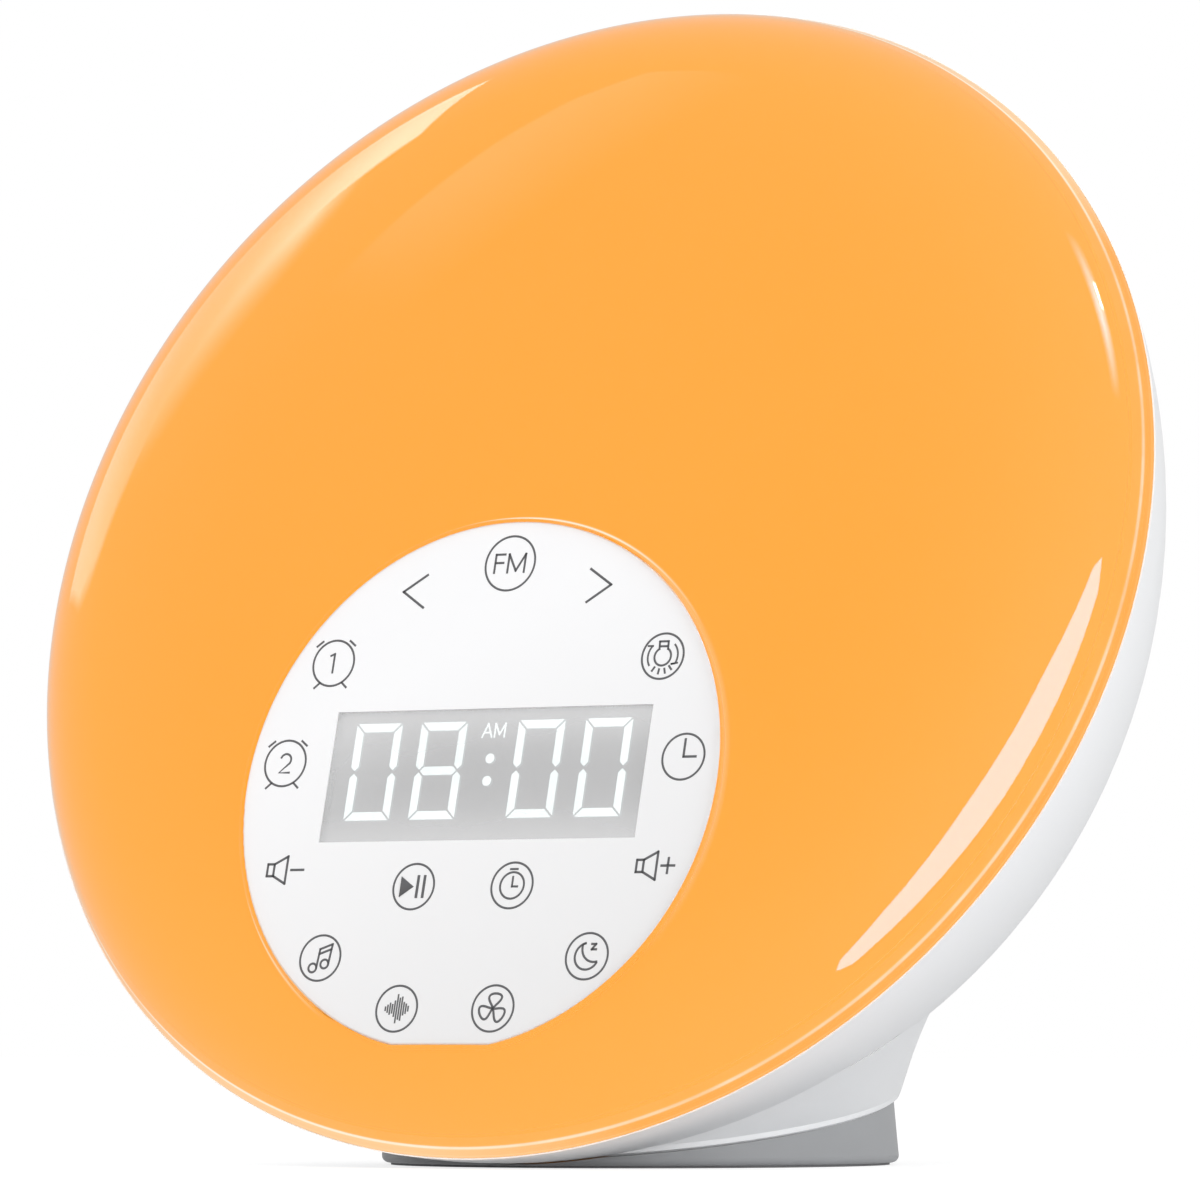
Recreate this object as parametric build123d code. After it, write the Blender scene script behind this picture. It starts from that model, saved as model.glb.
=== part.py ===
from build123d import *
import math
import os

# Sunrise alarm clock. Millimetres, +Z up, +X to the right as seen from the front, +Y to the back.
# The origin is the middle of the face that the clock stands on.

# ---------------------------------------------------------------- driving dimensions
FACE_TILT = 21.3           # the lamp face leans back by this angle
PANEL_TILT = 15.6          # the control panel is a flat facet, steeper than the face
FACE_CENTRE = (0, -18.0, 83.5)
PANEL_CENTRE = (0, -38.5, 12.7)   # in the face's own frame

LENS_RADIUS = 89.1         # the shoulder would be this wide, but the lens ends before that
DOME_RADIUS = 391.0
DOME_HEIGHT = 17.1         # top of the dome in front of the face plane
SHOULDER_RADIUS = 21.6
LENS_WALL = 2.2
LENS_BACK = -2.0           # back edge of the lens
LENS_LIP = (85.2, 83.9)    # outer and inner radius of the lip behind the lens
LENS_LIP_REACH = (-3.0, 0.8)   # the lip ends before and behind the lens's back edge
DIFFUSER_GAP = 0.4
DIFFUSER_WALL = 1.6
DIFFUSER_BACK = -1.0

SHELL_RIM = (87.45, -2.1)  # radius and height of the bowl's rim
SHELL_BELLY = (80.9, -20.0)
SHELL_WAIST = (68.5, -40.0)
SHELL_BACK = -52.0
SHELL_BACK_CORNER = 17.0
SHELL_WALL = 2.2
SHELL_BOSS_RADIUS = 3.2
SHELL_BOSS_CIRCLE = 76.5
SHELL_BOSS_ANGLES = (30, 90, 150, 205, 335)
LIP_REBATE = (85.5, -5.5)  # radius and depth of the step that the lens's lip sits in

FOOT_RADIUS = 36.4
FOOT_TAPER = 0.09          # radius lost per millimetre of height
FOOT_SLANT = 9.15          # the foot's top rises to the back by this angle
FOOT_MID_HEIGHT = 6.9
FOOT_CLEARANCE = 0.3       # the sole lifts the hard foot off the table by this much
SOLE_RADIUS = 35.0
SOLE_THICKNESS = 0.5
PEDESTAL_RADIUS = 36.9
PEDESTAL_LIP = ((0, 1.0), (0.35, 0.35), (1.1, 0))  # rise and cut-back of its rounded lower edge
NECK_CENTRE = (0, -6.5, 24.5)
NECK_SLANT = 38.4
NECK_HALF_WIDTH = 51.6
NECK_HALF_DEPTH = 33.8
FOOT_SCREW_CIRCLE = 32.0
FOOT_SCREW_ANGLES = (8, 62, 118, 172)
FOOT_BOSS_RADIUS = 3.4

PANEL_RADIUS = 37.6
PANEL_CHORD = -36.8        # the straight cut at the bottom of the panel
PANEL_THICKNESS = 2.0
PANEL_GAP = 0.15
WINDOW_SIZE = (50.2, 18.75)
WINDOW_CENTRE = (0.8, 1.27)
WINDOW_THICKNESS = 0.8
DIGIT_SIZE = (7.35, 13.9)
DIGIT_STROKE = 1.2
DIGIT_GAP = 0.2            # half the gap between two bars
DIGIT_THICKNESS = 0.4
DIGIT_ROW = (0.1, 2.2)     # middle of the row of digits
DIGIT_CENTRES = (-17.9, -7.45, 8.1, 18.7)
COLON_PLACE = 0.6
COLON_RISE = 1.6
MODULE_DEPTH = 8.0
KEY_PLACES = (
    (0, 31.5),
    (16.7, 28.0),
    (26.3, 17.8),
    (31.7, 3.4),
    (29.8, -11.9),
    (7.8, -14.6),
    (21.1, -24.6),
    (7.6, -31.8),
)
TOUCH_BOARD_TOP = -9.7
TOUCH_BOARD_THICKNESS = 1.6
TOUCH_BOARD_POSTS = ((-22.5, 23.0), (22.5, 23.0), (-14.0, -29.5), (14.0, -29.5))
POD_WALL = 1.6
POD_RADIUS = 36.6
POD_SCREW_PLACES = [(-37.5, -24.0), (37.5, -24.0), (-16.0, -1.5), (16.0, -1.5)]

REFLECTOR_TOP = -1.3
REFLECTOR_FLOOR = -14.0
REFLECTOR_WALL = 1.6
REFLECTOR_RIM = 82.0
REFLECTOR_MOUTH = 66.5
REFLECTOR_FLOOR_RADIUS = 62.0
FRAME_TOP = -3.1
FRAME_THICKNESS = 2.0
FRAME_RADII = (82.6, 71.0)
FRAME_SKIRT = (81.0, 4.5)  # inner radius and depth of the frame's skirt
LED_BOARD_RADII = (42.0, 60.0)
LED_COUNT = 30
LAMP_SCREW_ANGLES = (18, 90, 162)
LED_SIZE = (3.5, 2.8, 0.8)

SPEAKER_PLACE = (0, 0)
SPEAKER_BOSS_CIRCLE = 21.8
SPEAKER_BACK = -48.85
BOARD_BACK = -42.0
BOARD_THICKNESS = 1.6
BOARD_BOX = (-46.0, 14.5, 15.0, 50.0)
BOARD_BOSSES = ((-38.0, 19.0), (11.0, 30.0), (-32.0, 45.0), (10.0, 46.5))
LID_PLACE = (30.0, 18.5)
LID_RADIUS = 12.3
RESET_PLACE = (-6.0, 33.0)
JACK_PLACE = (-24.0, 19.0)
AERIAL_PLACE = (-38.0, -4.0)

CLEAR = 0.3                # between pieces that move past each other
FIT = 0.1                  # between fixed pieces that sit in each other

INNER_BACK = SHELL_BACK + SHELL_WALL


# ---------------------------------------------------------------- frames and helpers
def tilted(origin, lean):
    """A frame that looks forward and up by the lean angle, with its X to the right."""
    lean = math.radians(lean)
    return Plane(origin=origin, x_dir=(1, 0, 0), z_dir=(0, -math.cos(lean), math.sin(lean)))


FACE = tilted(FACE_CENTRE, FACE_TILT)
PANEL = tilted(FACE.from_local_coords(PANEL_CENTRE), PANEL_TILT)
FOOT_PLANE = Plane(
    origin=(0, 0, FOOT_MID_HEIGHT),
    x_dir=(1, 0, 0),
    z_dir=(0, -math.sin(math.radians(FOOT_SLANT)), math.cos(math.radians(FOOT_SLANT))),
)

parts = {}


def keep(name, shape):
    """Store a piece under its node name, as a list of its solids."""
    solids = shape.solids()
    parts[name] = solids[0] if len(solids) == 1 else Compound(children=list(solids))


def in_face(shape):
    return FACE.location * shape


def in_panel(shape):
    return PANEL.location * shape


def spin(*edges):
    """Turn a closed outline of radius and height round the Z axis."""
    return revolve(Plane.XZ * make_face(edges), Axis.Z)


def ring(outer, inner, low, high, place=(0, 0)):
    """A flat ring between two heights, or a disc where inner is 0."""
    height = high - low
    body = Cylinder(outer, height, align=(Align.CENTER, Align.CENTER, Align.MIN))
    if inner:
        body -= Cylinder(inner, height, align=(Align.CENTER, Align.CENTER, Align.MIN))
    return Pos(place[0], place[1], low) * body


def block(size, low, high, place=(0, 0)):
    """An upright block between two heights."""
    body = Box(size[0], size[1], high - low, align=(Align.CENTER, Align.CENTER, Align.MIN))
    return Pos(place[0], place[1], low) * body


def around(count, radius, start=0.0):
    """Places spread evenly on a circle."""
    return at_angles(radius, [start + 360.0 / count * i for i in range(count)])


def at_angles(radius, angles):
    """Places on a circle at the given angles."""
    turns = [math.radians(angle) for angle in angles]
    return [(radius * math.cos(turn), radius * math.sin(turn)) for turn in turns]


def screw(place, under_head, length, head=2.0, shank=1.0, way=1):
    """A pan-head screw. Its shank runs against way from the height under_head."""
    head_height = head * 0.7
    tip = under_head - way * length
    low, high = sorted((under_head, tip))
    body = ring(shank, 0, low, high, place)
    low, high = sorted((under_head, under_head + way * head_height))
    cap = ring(head, 0, low, high, place)
    slot_low, slot_high = sorted((under_head + way * head_height * 0.45, under_head + way * head_height))
    slots = block((head * 1.2, head * 0.3), slot_low, slot_high, place)
    slots += block((head * 0.3, head * 1.2), slot_low, slot_high, place)
    return body + (cap - slots)


# ---------------------------------------------------------------- the lens and the diffuser
def lens_section(outer, inner, back):
    """Section of a skin under the lens's outer face, between two depths below that face."""
    dome_z = DOME_HEIGHT - DOME_RADIUS
    shoulder_r = LENS_RADIUS - SHOULDER_RADIUS
    shoulder_z = dome_z + math.sqrt((DOME_RADIUS - SHOULDER_RADIUS) ** 2 - shoulder_r**2)
    meet = math.asin(shoulder_r / (DOME_RADIUS - SHOULDER_RADIUS))

    def dome_point(depth, angle):
        radius = DOME_RADIUS - depth
        return (radius * math.sin(angle), dome_z + radius * math.cos(angle))

    def shoulder_point(depth, angle):
        radius = SHOULDER_RADIUS - depth
        return (shoulder_r + radius * math.sin(angle), shoulder_z + radius * math.cos(angle))

    def end_angle(depth):
        return math.acos((back - shoulder_z) / (SHOULDER_RADIUS - depth))

    edges = []
    for depth in (outer, inner):
        end = end_angle(depth)
        middle = dome_point(depth, meet / 2)
        edges.append(ThreePointArc(dome_point(depth, 0), middle, dome_point(depth, meet)))
        middle = shoulder_point(depth, (meet + end) / 2)
        edges.append(ThreePointArc(dome_point(depth, meet), middle, shoulder_point(depth, end)))
    edges.append(Line(dome_point(outer, 0), dome_point(inner, 0)))
    edges.append(Line(shoulder_point(outer, end_angle(outer)), shoulder_point(inner, end_angle(inner))))
    return edges


def panel_outline(radius, chord):
    """A disc with a straight cut across its bottom."""
    cut = Pos(0, chord) * Rectangle(4 * radius, 2 * radius, align=(Align.CENTER, Align.MAX))
    return Circle(radius) - cut


def panel_well(grow, low=-45.0, high=8.0):
    """The room that the control panel and its pod take, grown by a clearance, in the face's frame."""
    body = extrude(panel_outline(PANEL_RADIUS + grow, PANEL_CHORD - grow), high - low)
    placed = in_panel(Pos(0, 0, low) * body)
    return FACE.location.inverse() * placed


def front_lens():
    lens = spin(*lens_section(0, LENS_WALL, LENS_BACK))
    lip = ring(*LENS_LIP, LENS_BACK + LENS_LIP_REACH[0], LENS_BACK + LENS_LIP_REACH[1])
    keep("front_lens", in_face(lens + lip - panel_well(PANEL_GAP)))


def light_diffuser():
    outer = LENS_WALL + DIFFUSER_GAP
    skin = spin(*lens_section(outer, outer + DIFFUSER_WALL, DIFFUSER_BACK))
    keep("light_diffuser", in_face(skin - panel_well(PANEL_GAP)))


# ---------------------------------------------------------------- the control panel and its pod
def control_panel():
    plate = extrude(panel_outline(PANEL_RADIUS, PANEL_CHORD), -PANEL_THICKNESS)
    plate = fillet(plate.faces().sort_by(Axis.Z)[-1].edges(), 0.3)
    opening = Pos(*WINDOW_CENTRE) * Rectangle(*WINDOW_SIZE)
    keep("control_panel", in_panel(plate - extrude(opening, -PANEL_THICKNESS)))


def display_window():
    size = (WINDOW_SIZE[0] - FIT, WINDOW_SIZE[1] - FIT)
    keep("display_window", in_panel(block(size, -0.1 - WINDOW_THICKNESS, -0.1, WINDOW_CENTRE)))


def light_bar(points, across=1, up=1):
    """One bar of a digit, its outline mirrored to another side or half where across or up is -1."""
    return make_face(Polyline(*[(across * x, up * y) for x, y in points], close=True))


def digit_bars(has_middle):
    """The bars of a zero, or of an eight where has_middle is set, round the digit's centre."""
    half_width, half_height = DIGIT_SIZE[0] / 2, DIGIT_SIZE[1] / 2
    inner_width, inner_height = half_width - DIGIT_STROKE, half_height - DIGIT_STROKE
    tip = half_width - DIGIT_STROKE / 2
    shoulder = DIGIT_STROKE / 2 + DIGIT_GAP
    level = (
        (-half_width + DIGIT_GAP, half_height),
        (half_width - DIGIT_GAP, half_height),
        (inner_width - DIGIT_GAP, inner_height),
        (-inner_width + DIGIT_GAP, inner_height),
    )
    upright = (
        (half_width, half_height - DIGIT_GAP),
        (half_width, shoulder),
        (tip, DIGIT_GAP),
        (inner_width, shoulder),
        (inner_width, inner_height - DIGIT_GAP),
    )
    bars = [light_bar(level), light_bar(level, up=-1)]
    bars += [light_bar(upright, across, up) for across in (-1, 1) for up in (-1, 1)]
    if has_middle:
        end = inner_width - DIGIT_GAP
        rise = DIGIT_STROKE / 2
        tip -= DIGIT_GAP
        upper = ((-tip, 0), (-end, rise), (end, rise), (tip, 0))
        bars.append(light_bar((*upper, (end, -rise), (-end, -rise))))
    return bars


def display_digits():
    top = -0.1 - WINDOW_THICKNESS - FIT
    bars = []
    for number, centre in enumerate(DIGIT_CENTRES):
        for bar in digit_bars(number == 1):
            bars.append(Pos(centre + DIGIT_ROW[0], DIGIT_ROW[1], top) * extrude(bar, -DIGIT_THICKNESS))
    for rise in (-COLON_RISE, COLON_RISE):
        place = (COLON_PLACE + DIGIT_ROW[0], DIGIT_ROW[1] + rise)
        bars.append(ring(0.7, 0, top - DIGIT_THICKNESS, top, place))
    keep("display_digits", in_panel(Compound(children=bars)))


def display_housing():
    top = -0.1 - WINDOW_THICKNESS - FIT - DIGIT_THICKNESS - FIT / 2
    body = block((49.8, 18.6), top - MODULE_DEPTH, top, WINDOW_CENTRE)
    keep("display_housing", in_panel(body))


def key_places():
    """All the touch keys: each one off the middle line has its twin on the other side."""
    return [(side * x, y) for x, y in KEY_PLACES for side in ((-1, 1) if x else (1,))]


def touch_electronics():
    low = TOUCH_BOARD_TOP - TOUCH_BOARD_THICKNESS
    inner = POD_RADIUS - POD_WALL - CLEAR
    board = extrude(panel_outline(inner, PANEL_CHORD + POD_WALL + 1.0 + CLEAR), TOUCH_BOARD_THICKNESS)
    board = Pos(0, 0, low) * board
    for place in TOUCH_BOARD_POSTS:
        board -= ring(1.2, 0, low - 1, TOUCH_BOARD_TOP + 1, place)
    keep("touch_board", in_panel(board))
    pads = []
    for x, y in key_places():
        reach = 0.95 if math.hypot(x, y) > 30 else 1.0
        pads.append(ring(2.6, 1.4, TOUCH_BOARD_TOP, -PANEL_THICKNESS - FIT / 2, (x * reach, y * reach)))
    keep("touch_pads", in_panel(Compound(children=pads)))
    chip = block((9.0, 9.0), low - 1.5, low, (-14, -12))
    plug = block((12.0, 4.5), low - 5.0, low, (12, -10))
    keep("touch_chip", in_panel(chip))
    keep("touch_connector", in_panel(plug))


def panel_pod():
    """The cup that carries the panel and keeps the lamp's light off the display."""
    outline = panel_outline(POD_RADIUS, PANEL_CHORD + 1.0)
    hollow = panel_outline(POD_RADIUS - POD_WALL, PANEL_CHORD + 1.0 + POD_WALL)
    top = -PANEL_THICKNESS - FIT / 2
    depth = 40.0
    cup = Pos(0, 0, top) * (extrude(outline, -depth) - extrude(hollow, -depth))
    ledge_top = TOUCH_BOARD_TOP - TOUCH_BOARD_THICKNESS
    ledge_outline = panel_outline(POD_RADIUS - POD_WALL - 2.5, PANEL_CHORD + 3.5 + POD_WALL)
    cup += Pos(0, 0, ledge_top) * (extrude(outline, -1.5) - extrude(ledge_outline, -1.5))
    for place in TOUCH_BOARD_POSTS:
        cup += ring(2.6, 0, ledge_top - 14.0, ledge_top, place)
        cup -= ring(0.8, 0, ledge_top - 8.0, ledge_top, place)
    cup = FACE.location.inverse() * in_panel(cup)
    floor_top = REFLECTOR_FLOOR - REFLECTOR_WALL - FIT
    cup &= ring(90.0, 0, floor_top - POD_WALL, 20.0)
    plate = ring(42.5, 0, floor_top - POD_WALL, floor_top, PANEL_CENTRE[:2])
    plate &= ring(77.0, 0, floor_top - POD_WALL - 1, floor_top + 1)
    plate -= block((30.0, 16.0), floor_top - POD_WALL - 1, floor_top + 1, (0, PANEL_CENTRE[1] - 4))
    for place in POD_SCREW_PLACES:
        plate -= ring(1.3, 0, floor_top - POD_WALL - 1, floor_top + 1, place)
    keep("panel_pod", in_face(cup + plate))


def touch_screws():
    top = TOUCH_BOARD_TOP
    group = [screw(place, top, 7.0, 1.9, 0.75) for place in TOUCH_BOARD_POSTS]
    keep("touch_screws", in_panel(Compound(children=group)))


# ---------------------------------------------------------------- the lamp
def light_reflector():
    """The white tray behind the diffuser. The pod stands in a round gap in its lower half."""
    wall = REFLECTOR_WALL
    points = (
        (0, REFLECTOR_FLOOR),
        (REFLECTOR_FLOOR_RADIUS, REFLECTOR_FLOOR),
        (REFLECTOR_MOUTH, REFLECTOR_TOP),
        (REFLECTOR_RIM, REFLECTOR_TOP),
        (REFLECTOR_RIM, REFLECTOR_TOP - wall),
        (REFLECTOR_MOUTH + wall, REFLECTOR_TOP - wall),
        (REFLECTOR_FLOOR_RADIUS + wall, REFLECTOR_FLOOR - wall),
        (0, REFLECTOR_FLOOR - wall),
    )
    tray = spin(Polyline(*points, close=True)) - panel_well(0.2)
    for place in POD_SCREW_PLACES + at_angles(LED_BOARD_RADII[1] - 3.0, LAMP_SCREW_ANGLES):
        tray -= ring(0.85, 0, REFLECTOR_FLOOR - wall - 1, REFLECTOR_FLOOR + 1, place)
    for place in at_angles(SHELL_BOSS_CIRCLE, SHELL_BOSS_ANGLES):
        tray -= ring(1.5, 0, REFLECTOR_TOP - wall - 1, REFLECTOR_TOP + 1, place)
    keep("light_reflector", in_face(tray))


def pod_screws():
    floor = REFLECTOR_FLOOR - REFLECTOR_WALL - FIT - POD_WALL
    group = [screw(place, floor, 2.9, 2.0, 0.8, way=-1) for place in POD_SCREW_PLACES]
    keep("pod_screws", in_face(Compound(children=group)))


def lamp_board():
    low = REFLECTOR_FLOOR + FIT / 2
    high = low + 1.4
    board = ring(LED_BOARD_RADII[1], LED_BOARD_RADII[0], low, high) - panel_well(2.0)
    middle = (LED_BOARD_RADII[0] + LED_BOARD_RADII[1]) / 2
    lamps, screws = [], []
    for x, y in around(LED_COUNT, middle, 90):
        if math.hypot(x - PANEL_CENTRE[0], y - PANEL_CENTRE[1]) > PANEL_RADIUS + 6:
            turn = math.degrees(math.atan2(y, x))
            lamp = Box(*LED_SIZE, align=(Align.CENTER, Align.CENTER, Align.MIN))
            lamps.append(Pos(x, y, high) * Rot(0, 0, turn) * lamp)
    for place in at_angles(LED_BOARD_RADII[1] - 3.0, LAMP_SCREW_ANGLES):
        board -= ring(1.2, 0, low - 1, high + 1, place)
        screws.append(screw(place, high, 2.6, 2.0, 0.8))
    keep("lamp_board", in_face(board))
    keep("lamp_leds", in_face(Compound(children=lamps)))
    keep("lamp_screws", in_face(Compound(children=screws)))


def inner_frame():
    """The ring that the tray and the lens are held to, screwed to the bowl's bosses."""
    low = FRAME_TOP - FRAME_THICKNESS
    body = ring(*FRAME_RADII, low, FRAME_TOP)
    body += ring(FRAME_RADII[0], FRAME_SKIRT[0], low - FRAME_SKIRT[1], low)
    body -= panel_well(0.2)
    for place in at_angles(SHELL_BOSS_CIRCLE, SHELL_BOSS_ANGLES):
        body -= ring(1.5, 0, low - 1, FRAME_TOP + 1, place)
    for place in around(6, SHELL_BOSS_CIRCLE, 0):
        body += ring(1.4, 0, FRAME_TOP, REFLECTOR_TOP - REFLECTOR_WALL, place)
    keep("inner_frame", in_face(body))
    head_under = REFLECTOR_TOP
    places = at_angles(SHELL_BOSS_CIRCLE, SHELL_BOSS_ANGLES)
    group = [screw(place, head_under, 9.0, 2.6, 1.2) for place in places]
    keep("frame_screws", in_face(Compound(children=group)))


# ---------------------------------------------------------------- the rear shell
def circle_through(a, b, c):
    """Centre and radius of the circle through three points."""
    ax, ay, bx, by, cx, cy = *a, *b, *c
    d = 2 * (ax * (by - cy) + bx * (cy - ay) + cx * (ay - by))
    ux = ((ax**2 + ay**2) * (by - cy) + (bx**2 + by**2) * (cy - ay) + (cx**2 + cy**2) * (ay - by)) / d
    uy = ((ax**2 + ay**2) * (cx - bx) + (bx**2 + by**2) * (ax - cx) + (cx**2 + cy**2) * (bx - ax)) / d
    return (ux, uy), math.hypot(ax - ux, ay - uy)


def bowl(inset):
    """The full round body of the bowl, shrunk by the inset, open end at its rim."""
    centre, radius = circle_through(SHELL_RIM, SHELL_BELLY, SHELL_WAIST)
    radius -= inset
    back = SHELL_BACK + inset
    rim_z = SHELL_RIM[1]

    def at_height(z):
        return (centre[0] + math.sqrt(radius**2 - (z - centre[1]) ** 2), z)

    side = ThreePointArc(at_height(rim_z), at_height((rim_z + back) / 2), at_height(back))
    floor = Line(at_height(back), (0, back))
    axis = Line((0, back), (0, rim_z))
    section = make_face((side, floor, axis, Line((0, rim_z), at_height(rim_z))))
    corner = section.vertices().sort_by_distance(at_height(back))[0]
    section = fillet(corner, SHELL_BACK_CORNER - inset)
    return in_face(revolve(Plane.XZ * section, Axis.Z))


def neck(inset, below=0):
    """The pedestal, from the foot's slanted circle or a little below it to an ellipse inside the bowl."""
    base = FOOT_PLANE * Circle(PEDESTAL_RADIUS - inset)
    lip = [FOOT_PLANE.offset(rise) * Circle(PEDESTAL_RADIUS - cut) for rise, cut in PEDESTAL_LIP]
    lean = math.radians(NECK_SLANT)
    top_plane = Plane(origin=NECK_CENTRE, x_dir=(1, 0, 0), z_dir=(0, -math.sin(lean), math.cos(lean)))
    top = top_plane * Ellipse(NECK_HALF_WIDTH - inset, NECK_HALF_DEPTH - inset)
    body = loft([*([base] if inset else lip), top], ruled=True)
    if below:
        body += extrude(base, -below)
    return body


def grille_places():
    """Holes of the speaker grille on rings round the speaker's axis."""
    places = [SPEAKER_PLACE]
    for number in range(1, 5):
        for x, y in around(6 * number, 3.4 * number):
            places.append((SPEAKER_PLACE[0] + x, SPEAKER_PLACE[1] + y))
    return places


def speaker_boss_places():
    return [(SPEAKER_PLACE[0] + x, SPEAKER_PLACE[1] + y) for x, y in around(3, SPEAKER_BOSS_CIRCLE, 90)]


def rear_shell():
    outer = bowl(0)
    shell = (outer + neck(0)) - bowl(SHELL_WALL) - neck(SHELL_WALL, below=3.0)
    bosses = []
    for place in at_angles(SHELL_BOSS_CIRCLE, SHELL_BOSS_ANGLES):
        post = in_face(ring(SHELL_BOSS_RADIUS, 0, -45.0, FRAME_TOP - FRAME_THICKNESS - FIT, place))
        bosses.append(post & outer)
    for place in BOARD_BOSSES:
        bosses.append(in_face(ring(2.8, 0, INNER_BACK - 1.0, BOARD_BACK - FIT, place)))
    for place in speaker_boss_places():
        bosses.append(in_face(ring(2.6, 0, INNER_BACK - 1.0, SPEAKER_BACK + 1.1, place)))
    for x, y in at_angles(FOOT_SCREW_CIRCLE, FOOT_SCREW_ANGLES):
        bosses.append(ring(FOOT_BOSS_RADIUS, 0, 0, 26.0, (x, y)) & neck(1.0))
    for boss in bosses:
        shell += boss
    holes = []
    for place in at_angles(SHELL_BOSS_CIRCLE, SHELL_BOSS_ANGLES):
        holes.append(in_face(ring(1.25, 0, -14.0, 0, place)))
    for place in BOARD_BOSSES:
        holes.append(in_face(ring(0.8, 0, INNER_BACK + 1.0, BOARD_BACK + 1, place)))
    for place in speaker_boss_places():
        holes.append(in_face(ring(0.7, 0, INNER_BACK - 0.8, -40.0, place)))
    for x, y in at_angles(FOOT_SCREW_CIRCLE, FOOT_SCREW_ANGLES):
        holes.append(ring(1.15, 0, 0, 19.0, (x, y)))
    holes.append(in_face(ring(LIP_REBATE[0], 0, LIP_REBATE[1], 0)))
    for place in grille_places():
        holes.append(in_face(ring(0.9, 0, SHELL_BACK - 1, INNER_BACK + 1, place)))
    for place, radius in (
        (LID_PLACE, LID_RADIUS + CLEAR),
        (RESET_PLACE, 2.4),
        (JACK_PLACE, 4.7),
        (AERIAL_PLACE, 3.0),
    ):
        holes.append(in_face(ring(radius, 0, SHELL_BACK - 1, INNER_BACK + 1, place)))
    for hole in holes:
        shell -= hole
    keep("rear_shell", shell)


# ---------------------------------------------------------------- the foot
def foot_wedge(inset, floor):
    """The slanted round foot, shrunk by the inset, from a floor height to the slanted plane."""
    height = 30.0
    bottom = FOOT_RADIUS - inset
    cone = Solid.make_cone(bottom - FOOT_TAPER * floor, bottom - FOOT_TAPER * height, height - floor)
    above = FOOT_PLANE.offset(inset and 5.0) * Rectangle(200, 200)
    return Pos(0, 0, floor) * cone - extrude(above, 60)


def base_foot():
    wedge = foot_wedge(0, FOOT_CLEARANCE)
    wedge = fillet(wedge.edges().group_by(Axis.Z)[0], 1.0)
    pocket = foot_wedge(2.4, FOOT_CLEARANCE + 2.2) & (Pos(0, 16, 0) * Box(80, 46, 60))
    foot = wedge - pocket - bowl(-0.15)
    sole_top = SOLE_THICKNESS + FIT / 2
    foot -= ring(SOLE_RADIUS + FIT, 0, -1, sole_top)
    screws = []
    for x, y in at_angles(FOOT_SCREW_CIRCLE, FOOT_SCREW_ANGLES):
        boss_top = FOOT_MID_HEIGHT - 1.1 + y * math.tan(math.radians(FOOT_SLANT))
        foot += ring(FOOT_BOSS_RADIUS, 0, FOOT_CLEARANCE + 1.5, boss_top, (x, y))
        foot -= ring(1.3, 0, -1, 40, (x, y))
        foot -= ring(2.8, 0, -1, 3.1, (x, y))
        screws.append(screw((x, y), 3.1, 14.0, 2.4, 1.1, way=-1))
    keep("base_foot", foot)
    keep("foot_screws", Compound(children=screws))
    keep("foot_sole", ring(SOLE_RADIUS, 0, 0, SOLE_THICKNESS))
    weight = ring(22.0, 0, 2.7, 5.2, (0, 6.0)) & (Pos(0, 18.0, 0) * Box(60, 40, 20))
    keep("foot_weight", weight)


# ---------------------------------------------------------------- the loudspeaker
def speaker():
    back = SPEAKER_BACK
    place = Pos(SPEAKER_PLACE[0], SPEAKER_PLACE[1], back)

    def turned(name, *points):
        keep(name, in_face(place * spin(Polyline(*points, close=True))))

    turned(
        "speaker_frame",
        (14.7, 0),
        (18.0, 0),
        (18.0, 1.2),
        (15.8, 1.2),
        (11.4, 8.0),
        (11.4, 9.2),
        (6.0, 9.2),
        (6.0, 8.2),
        (10.4, 8.0),
        (14.7, 1.2),
    )
    turned(
        "speaker_magnet",
        (0, 7.6),
        (4.0, 7.6),
        (4.0, 13.6),
        (5.9, 13.6),
        (5.9, 9.3),
        (11.0, 9.3),
        (11.0, 16.4),
        (0, 16.4),
    )
    turned(
        "speaker_cone",
        (0, 5.2),
        (4.2, 5.6),
        (12.6, 1.6),
        (12.6, 2.2),
        (5.3, 6.2),
        (5.3, 11.6),
        (4.5, 11.6),
        (4.5, 6.3),
        (0, 5.8),
    )
    turned("speaker_surround", (13.0, 0.4), (14.5, 0.4), (14.5, 1.1), (13.0, 1.1))
    low = back + 1.25
    clamp = ring(19.6, 16.2, low, low + 1.4, SPEAKER_PLACE)
    screws = []
    for spot in speaker_boss_places():
        clamp += ring(3.2, 0, low, low + 1.4, spot) - ring(18.0, 0, low, low + 1.4, SPEAKER_PLACE)
    for spot in speaker_boss_places():
        clamp -= ring(1.1, 0, low - 1, low + 3, spot)
        screws.append(screw(spot, low + 1.4, 3.6, 1.9, 0.7))
    keep("speaker_clamp", in_face(clamp))
    keep("speaker_screws", in_face(Compound(children=screws)))
    keep("speaker_cloth", in_face(ring(17.8, 0, INNER_BACK + 0.05, INNER_BACK + 0.35, SPEAKER_PLACE)))
    keep("speaker_gasket", in_face(ring(17.8, 14.6, INNER_BACK + 0.4, back - 0.02, SPEAKER_PLACE)))


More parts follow.
